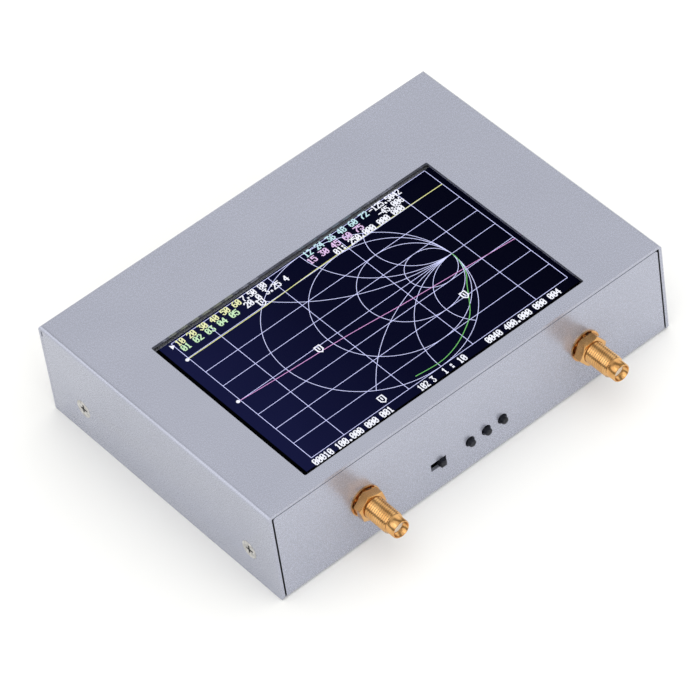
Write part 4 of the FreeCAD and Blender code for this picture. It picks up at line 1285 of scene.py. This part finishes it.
@dataclass
class DisplayPicture:
    """What the display shows: a grid, a round impedance chart, three traces, tags and plain numbers.

    Its lengths are in mm, and places are counted from its centre.
    """

    centre: Point = (-0.87, -8.99)
    tilt: float = 0.35
    half_width: float = 43.5
    half_height: float = 28.35
    line: float = 0.15
    grid_high: float = 0.02
    chart_high: float = 0.03
    trace_high: float = 0.04
    mark_high: float = 0.05
    divisions: int = 8
    columns: tuple[int, ...] = (0, 1, 3, 5, 7, 8)
    circles: tuple[float, ...] = (0.75, 0.5, 0.25)
    arcs: tuple[float, ...] = (0.5, 1.0, 2.0)
    rim_step: float = 3.0
    chart_step: float = 4.0
    curves: tuple[Trace, ...] = (
        Trace(
            Finish.YELLOW_INK,
            0.21,
            ((-44.1, 21.0), (-20, 20.95), (0, 21.5), (20, 21.5), (43.5, 21.2)),
        ),
        Trace(
            Finish.MAGENTA_INK,
            0.18,
            ((-44.2, 0.05), (-32, -1.0), (-10.7, -2.5), (8, -4.6), (26.2, -6.3), (43.5, -7.9)),
        ),
        Trace(
            Finish.GREEN_INK,
            0.22,
            ((-6.8, -26.2), (0.9, -27.0), (7.0, -25.8), (12.7, -23.1), (17.8, -19.3), (23.7, -11.4),
             (26.5, -7.7), (28.2, -2.6), (28.35, 0)),
        ),
    )
    tag_tips: tuple[Point, ...] = ((-17.5, 21.3), (-17.8, -2.3), (20.9, -15.0), (-17.9, -27.4))
    tag_outline: tuple[Point, ...] = ((0, 0), (0.8, 0.8), (0.8, 2.6), (-0.8, 2.6), (-0.8, 0.8))
    tag_line: float = 0.42
    tag_stem: tuple[Point, ...] = ((0, 1.0), (0, 2.1))
    stem_line: float = 0.34
    dots: tuple[Point, ...] = ((-44.1, 20.9), (-44.2, 0.05))
    dot_radius: float = 0.55
    dot_step: float = 36
    pointer: tuple[Point, ...] = ((-44.4, 26.4), (-43.2, 27.3), (-44.4, 28.2))
    digit_tall: float = 2.25
    readings: tuple[Reading, ...] = (
        Reading(Finish.PALE_YELLOW_INK, "10 20 30 40 50 60", (-42.6, -21.4), 27.3),
        Reading(Finish.WHITE_INK, "7.50 80", (-20.6, -12.8), 27.3),
        Reading(Finish.PALE_GREEN_INK, "01 02 03 04 05", (-42.7, -24.0), 24.8),
        Reading(Finish.WHITE_INK, "20.0 3.25 4", (-21.5, -7.2), 24.8),
        Reading(Finish.PALE_CYAN_INK, "12 24 36 48 60 72", (1.0, 22.6), 27.6),
        Reading(Finish.WHITE_INK, "-125.5042", (23.4, 33.8), 27.6),
        Reading(Finish.PALE_MAGENTA_INK, "15 30 45 60 75", (0.2, 18.6), 24.9),
        Reading(Finish.WHITE_INK, "-45.006", (24.4, 32.6), 24.9),
        Reading(Finish.WHITE_INK, "01: 250.000 000 000", (7.3, 30.7), 22.5),
        Reading(Finish.WHITE_INK, "00010 100.000 000 001", (-44.3, -18.3), -30.2),
        Reading(Finish.WHITE_INK, "102 3", (-9.1, -3.9), -30.2),
        Reading(Finish.WHITE_INK, "1 : 10", (-0.9, 6.6), -30.2),
        Reading(Finish.WHITE_INK, "0040 400.000 000 004", (13.9, 38.9), -30.2),
    )
    made: dict[Finish, Picture] = field(default_factory=dict)

    def layer(self, ink: Finish) -> Picture:
        """Gives the part of the picture in one ink, which is started when it is first asked for.

        Args:
            ink: The ink.

        Returns:
            The part.
        """
        if ink not in self.made:
            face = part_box("display_glass")[1][2]
            self.made[ink] = Picture(Vector((self.centre[0] * MM, self.centre[1] * MM, face)), self.tilt)
        return self.made[ink]

    def grid(self) -> None:
        """The border, seven row lines and four column lines."""
        grid = self.layer(Finish.GRID_INK)
        wide, tall = self.half_width, self.half_height
        for row in range(self.divisions + 1):
            v = tall - row * 2 * tall / self.divisions
            grid.strip([(-wide, v), (wide, v)], self.line, self.grid_high)
        for column in self.columns:
            u = -wide + column * 2 * wide / self.divisions
            grid.strip([(u, -tall), (u, tall)], self.line, self.grid_high)

    def chart(self) -> None:
        """The rim, the circles and the arcs of the impedance chart."""
        chart = self.layer(Finish.CHART_INK)
        rim = self.half_height
        chart.strip(ring((0, 0), rim, self.rim_step), self.line, self.chart_high, closed=True)
        for share in self.circles:
            radius = rim * share
            circle = ring((rim - radius, 0), radius, self.chart_step)
            chart.strip(circle, self.line, self.chart_high, closed=True)
        for share in self.arcs:
            radius = rim * share
            sweep = 180 - 2 * math.degrees(math.atan(share))
            for up in (1, -1):
                route = arc((rim, up * radius), radius, -90 * up, -90 * up - up * sweep, self.chart_step)
                chart.strip(route, self.line, self.chart_high)

    def traces(self) -> None:
        """The yellow, magenta and green traces."""
        for curve in self.curves:
            self.layer(curve.ink).strip(smooth(curve.points), curve.width, self.trace_high)

    def tags(self) -> None:
        """Four small pointed tags, a dot where two of the traces begin, and a pointer at the top left."""
        white = self.layer(Finish.WHITE_INK)
        for tip in self.tag_tips:
            white.strip(moved(self.tag_outline, tip), self.tag_line, self.mark_high, closed=True)
            white.strip(moved(self.tag_stem, tip), self.stem_line, self.mark_high)
        for dot in self.dots:
            white.patch(ring(dot, self.dot_radius, self.dot_step), self.mark_high)
        white.patch(self.pointer, self.mark_high)

    def lines_of_numbers(self) -> None:
        """Plain numbers where a display of this kind gives its readings."""
        for line in self.readings:
            self.layer(line.ink).numbers(line.text, line.span, line.middle, self.digit_tall, self.mark_high)

    def build(self, dresser: Dresser) -> None:
        """Draws the whole picture, one piece to an ink.

        Args:
            dresser: What gives the pieces their finishes.
        """
        self.grid()
        self.chart()
        self.traces()
        self.tags()
        self.lines_of_numbers()
        for ink, picture in self.made.items():
            piece = picture.finish(f"picture_{ink.name.lower()}")
            dresser.mount(piece, Body.CASE, ink, "liquid_crystal")


@dataclass
class DisplayModule:
    """The touch panel, the display behind it, and what holds and feeds them."""

    picture: DisplayPicture = field(default_factory=DisplayPicture)

    def build(self, dresser: Dresser) -> None:
        """Dresses the module and draws its picture.

        Args:
            dresser: What gives the pieces their finishes.
        """
        dresser.paint(Finish.TOUCH_GLASS, "touch_panel")
        dresser.paint(Finish.DISPLAY, "display_glass")
        dresser.paint(Finish.LIGHT_GUIDE, "backlight_guide")
        dresser.paint(Finish.MATT_TIN, "display_bezel")
        dresser.paint(Finish.FOAM, "display_gasket", "display_tape")
        dresser.paint(Finish.FILM, "display_ribbon")
        dresser.paint(Finish.IVORY_PLASTIC, "ribbon_connector")
        dresser.paint(Finish.BOARD, "display_board")
        self.picture.build(dresser)


@dataclass
class Electronics:
    """The main board, what is soldered to it, the battery and the charging inlet."""

    def build(self, dresser: Dresser) -> None:
        """Dresses everything inside the case.

        Args:
            dresser: What gives the pieces their finishes.
        """
        dresser.paint(Finish.BOARD, "main_board", "guard_board")
        dresser.paint(Finish.TINNED, "shield_can_left", "shield_can_right", "oscillator_can", "usb_shell")
        black = ("link_header", "link_socket", "processor_chip", "synthesiser_chips", "power_inductor")
        dresser.paint(Finish.BLACK_PLASTIC, *black, "usb_tongue")
        dresser.paint(Finish.CERAMIC, "chip_capacitors")
        dresser.paint(Finish.IVORY_PLASTIC, "battery_plug", "battery_socket")
        dresser.paint(Finish.WIRE_JACKET, "battery_lead")
        dresser.paint(Finish.FOIL, "battery_cell")
        dresser.paint(Finish.FOAM, "battery_pad")


@dataclass(frozen=True)
class SoftPanel:
    """A soft bright panel as gloss sees it, by its direction, half-angle in degrees and strength."""

    direction: tuple[float, float, float]
    spread: float
    strength: float


@dataclass(frozen=True)
class Softbox:
    """A large square light that faces the object, with its place and width in metres and power in watts."""

    name: str
    place: tuple[float, float, float]
    size: float
    power: float

    def hang(self) -> None:
        """Hangs the light in the scene."""
        lamp = bpy.data.lights.new(self.name, "AREA")
        lamp.size = self.size
        lamp.energy = self.power
        holder = bpy.data.objects.new(self.name, lamp)
        holder.location = self.place
        holder.rotation_euler = (-Vector(self.place)).to_track_quat("-Z", "Y").to_euler()
        bpy.context.scene.collection.objects.link(holder)


@dataclass
class Studio:
    """The pale floor, the soft light and the camera."""

    floor_half: float = 4.0
    floor_tone: Colour = (0.88, 0.877, 0.855)
    floor_dim: float = 0.99
    floor_cloud: float = 0.4
    floor_roughness: float = 0.9
    floor_gloss: float = 0.1
    white: Colour = (1.0, 1.0, 1.0)
    dome: float = 0.96
    lean: float = 0.4
    sunny: tuple[float, float, float] = (0.55, -0.40, 0.73)
    gloom: float = 0.26
    panel_core: float = 0.6
    panels: tuple[SoftPanel, ...] = (
        SoftPanel((-0.62, -0.42, 0.66), 26, 1.25),
        SoftPanel((0.75, -0.55, 0.36), 30, 1.0),
        SoftPanel((-0.72, 0.58, 0.38), 30, 1.5),
        SoftPanel((0.38, 0.577, 0.723), 42, 0.5),
    )
    softboxes: tuple[Softbox, ...] = (
        Softbox("front_softbox", (0.1, -1.5, 0.6), 1.2, 2.2),
        Softbox("top_softbox", (-0.3, -0.4, 1.6), 1.4, 5.0),
    )
    lens: float = 263.2116
    sensor: float = 36.0
    near: float = 0.05
    far: float = 20.0
    eye: tuple[float, float, float] = (-0.5122169, -0.7737505, 0.9794031)
    right: tuple[float, float, float] = (0.7619079, -0.6384329, -0.1090861)
    down: tuple[float, float, float] = (-0.5246971, -0.5096692, -0.6818580)
    forward: tuple[float, float, float] = (0.3797227, 0.5767502, -0.7233049)

    def floor(self) -> None:
        """Lays the floor that the object stands on."""
        work = bmesh.new()
        half = self.floor_half
        outline = ((-half, -half), (half, -half), (half, half), (-half, half))
        work.faces.new([work.verts.new((x, y, 0)) for x, y in outline])
        sheet = from_bmesh("studio_floor", work, SHARP_FROM)
        shader = Shader("studio_floor")
        cloud = shader.noise(self.floor_cloud)
        darker = tuple(level * self.floor_dim for level in self.floor_tone)
        sheet.data.materials.append(shader.surface({
            "Base Color": shader.mix(cloud, darker, self.floor_tone),
            "Roughness": self.floor_roughness,
            "Specular IOR Level": self.floor_gloss,
        }))

    def sky(self) -> None:
        """Surrounds the object with a white dome; gloss sees a studio of soft panels in it."""
        world = bpy.data.worlds.new("soft_dome")
        bpy.context.scene.world = world
        board = NodeBoard(world, "ShaderNodeOutputWorld")
        toward = board.node("ShaderNodeTexCoord", {}, {}).outputs["Generated"]
        glow = self.gloom
        for panel in self.panels:
            facing = board.facing(toward, Vector(panel.direction).normalized())
            edge = math.cos(math.radians(panel.spread))
            core = math.cos(math.radians(panel.spread * self.panel_core))
            glow = facing.ramp(edge, core) * panel.strength + glow
        brightness = board.facing(toward, self.sunny) * self.lean + self.dome
        even = board.node("ShaderNodeBackground", {}, {0: self.white, 1: brightness})
        mirrored = board.node("ShaderNodeBackground", {}, {0: self.white, 1: glow})
        glossy = board.node("ShaderNodeLightPath", {}, {}).outputs["Is Glossy Ray"]
        parts = {0: glossy, 1: even.outputs[0], 2: mirrored.outputs[0]}
        board.close(board.node("ShaderNodeMixShader", {}, parts))

    def camera(self) -> None:
        """Sets up the camera as the photograph was taken."""
        lens = bpy.data.cameras.new("photo_camera")
        lens.lens = self.lens
        lens.sensor_width = self.sensor
        lens.clip_start = self.near
        lens.clip_end = self.far
        holder = bpy.data.objects.new("photo_camera", lens)
        axes = Matrix((self.right, -Vector(self.down), -Vector(self.forward))).transposed()
        holder.matrix_world = Matrix.Translation(self.eye) @ axes.to_4x4()
        bpy.context.scene.collection.objects.link(holder)
        bpy.context.scene.camera = holder

    def build(self) -> None:
        """Sets up the studio."""
        bpy.context.scene.view_settings.view_transform = "Standard"
        self.floor()
        self.sky()
        for softbox in self.softboxes:
            softbox.hang()
        self.camera()


def main() -> None:
    """Builds the studio and the object's sub-assemblies in order."""
    logging.basicConfig(level=logging.INFO, format="%(message)s")
    Studio().build()
    dresser = Dresser()
    Housing().build(dresser)
    for side in Side:
        CoaxJack(side).build(dresser)
    Controls().build(dresser)
    DisplayModule().build(dresser)
    Electronics().build(dresser)


if __name__ == "__main__":
    main()
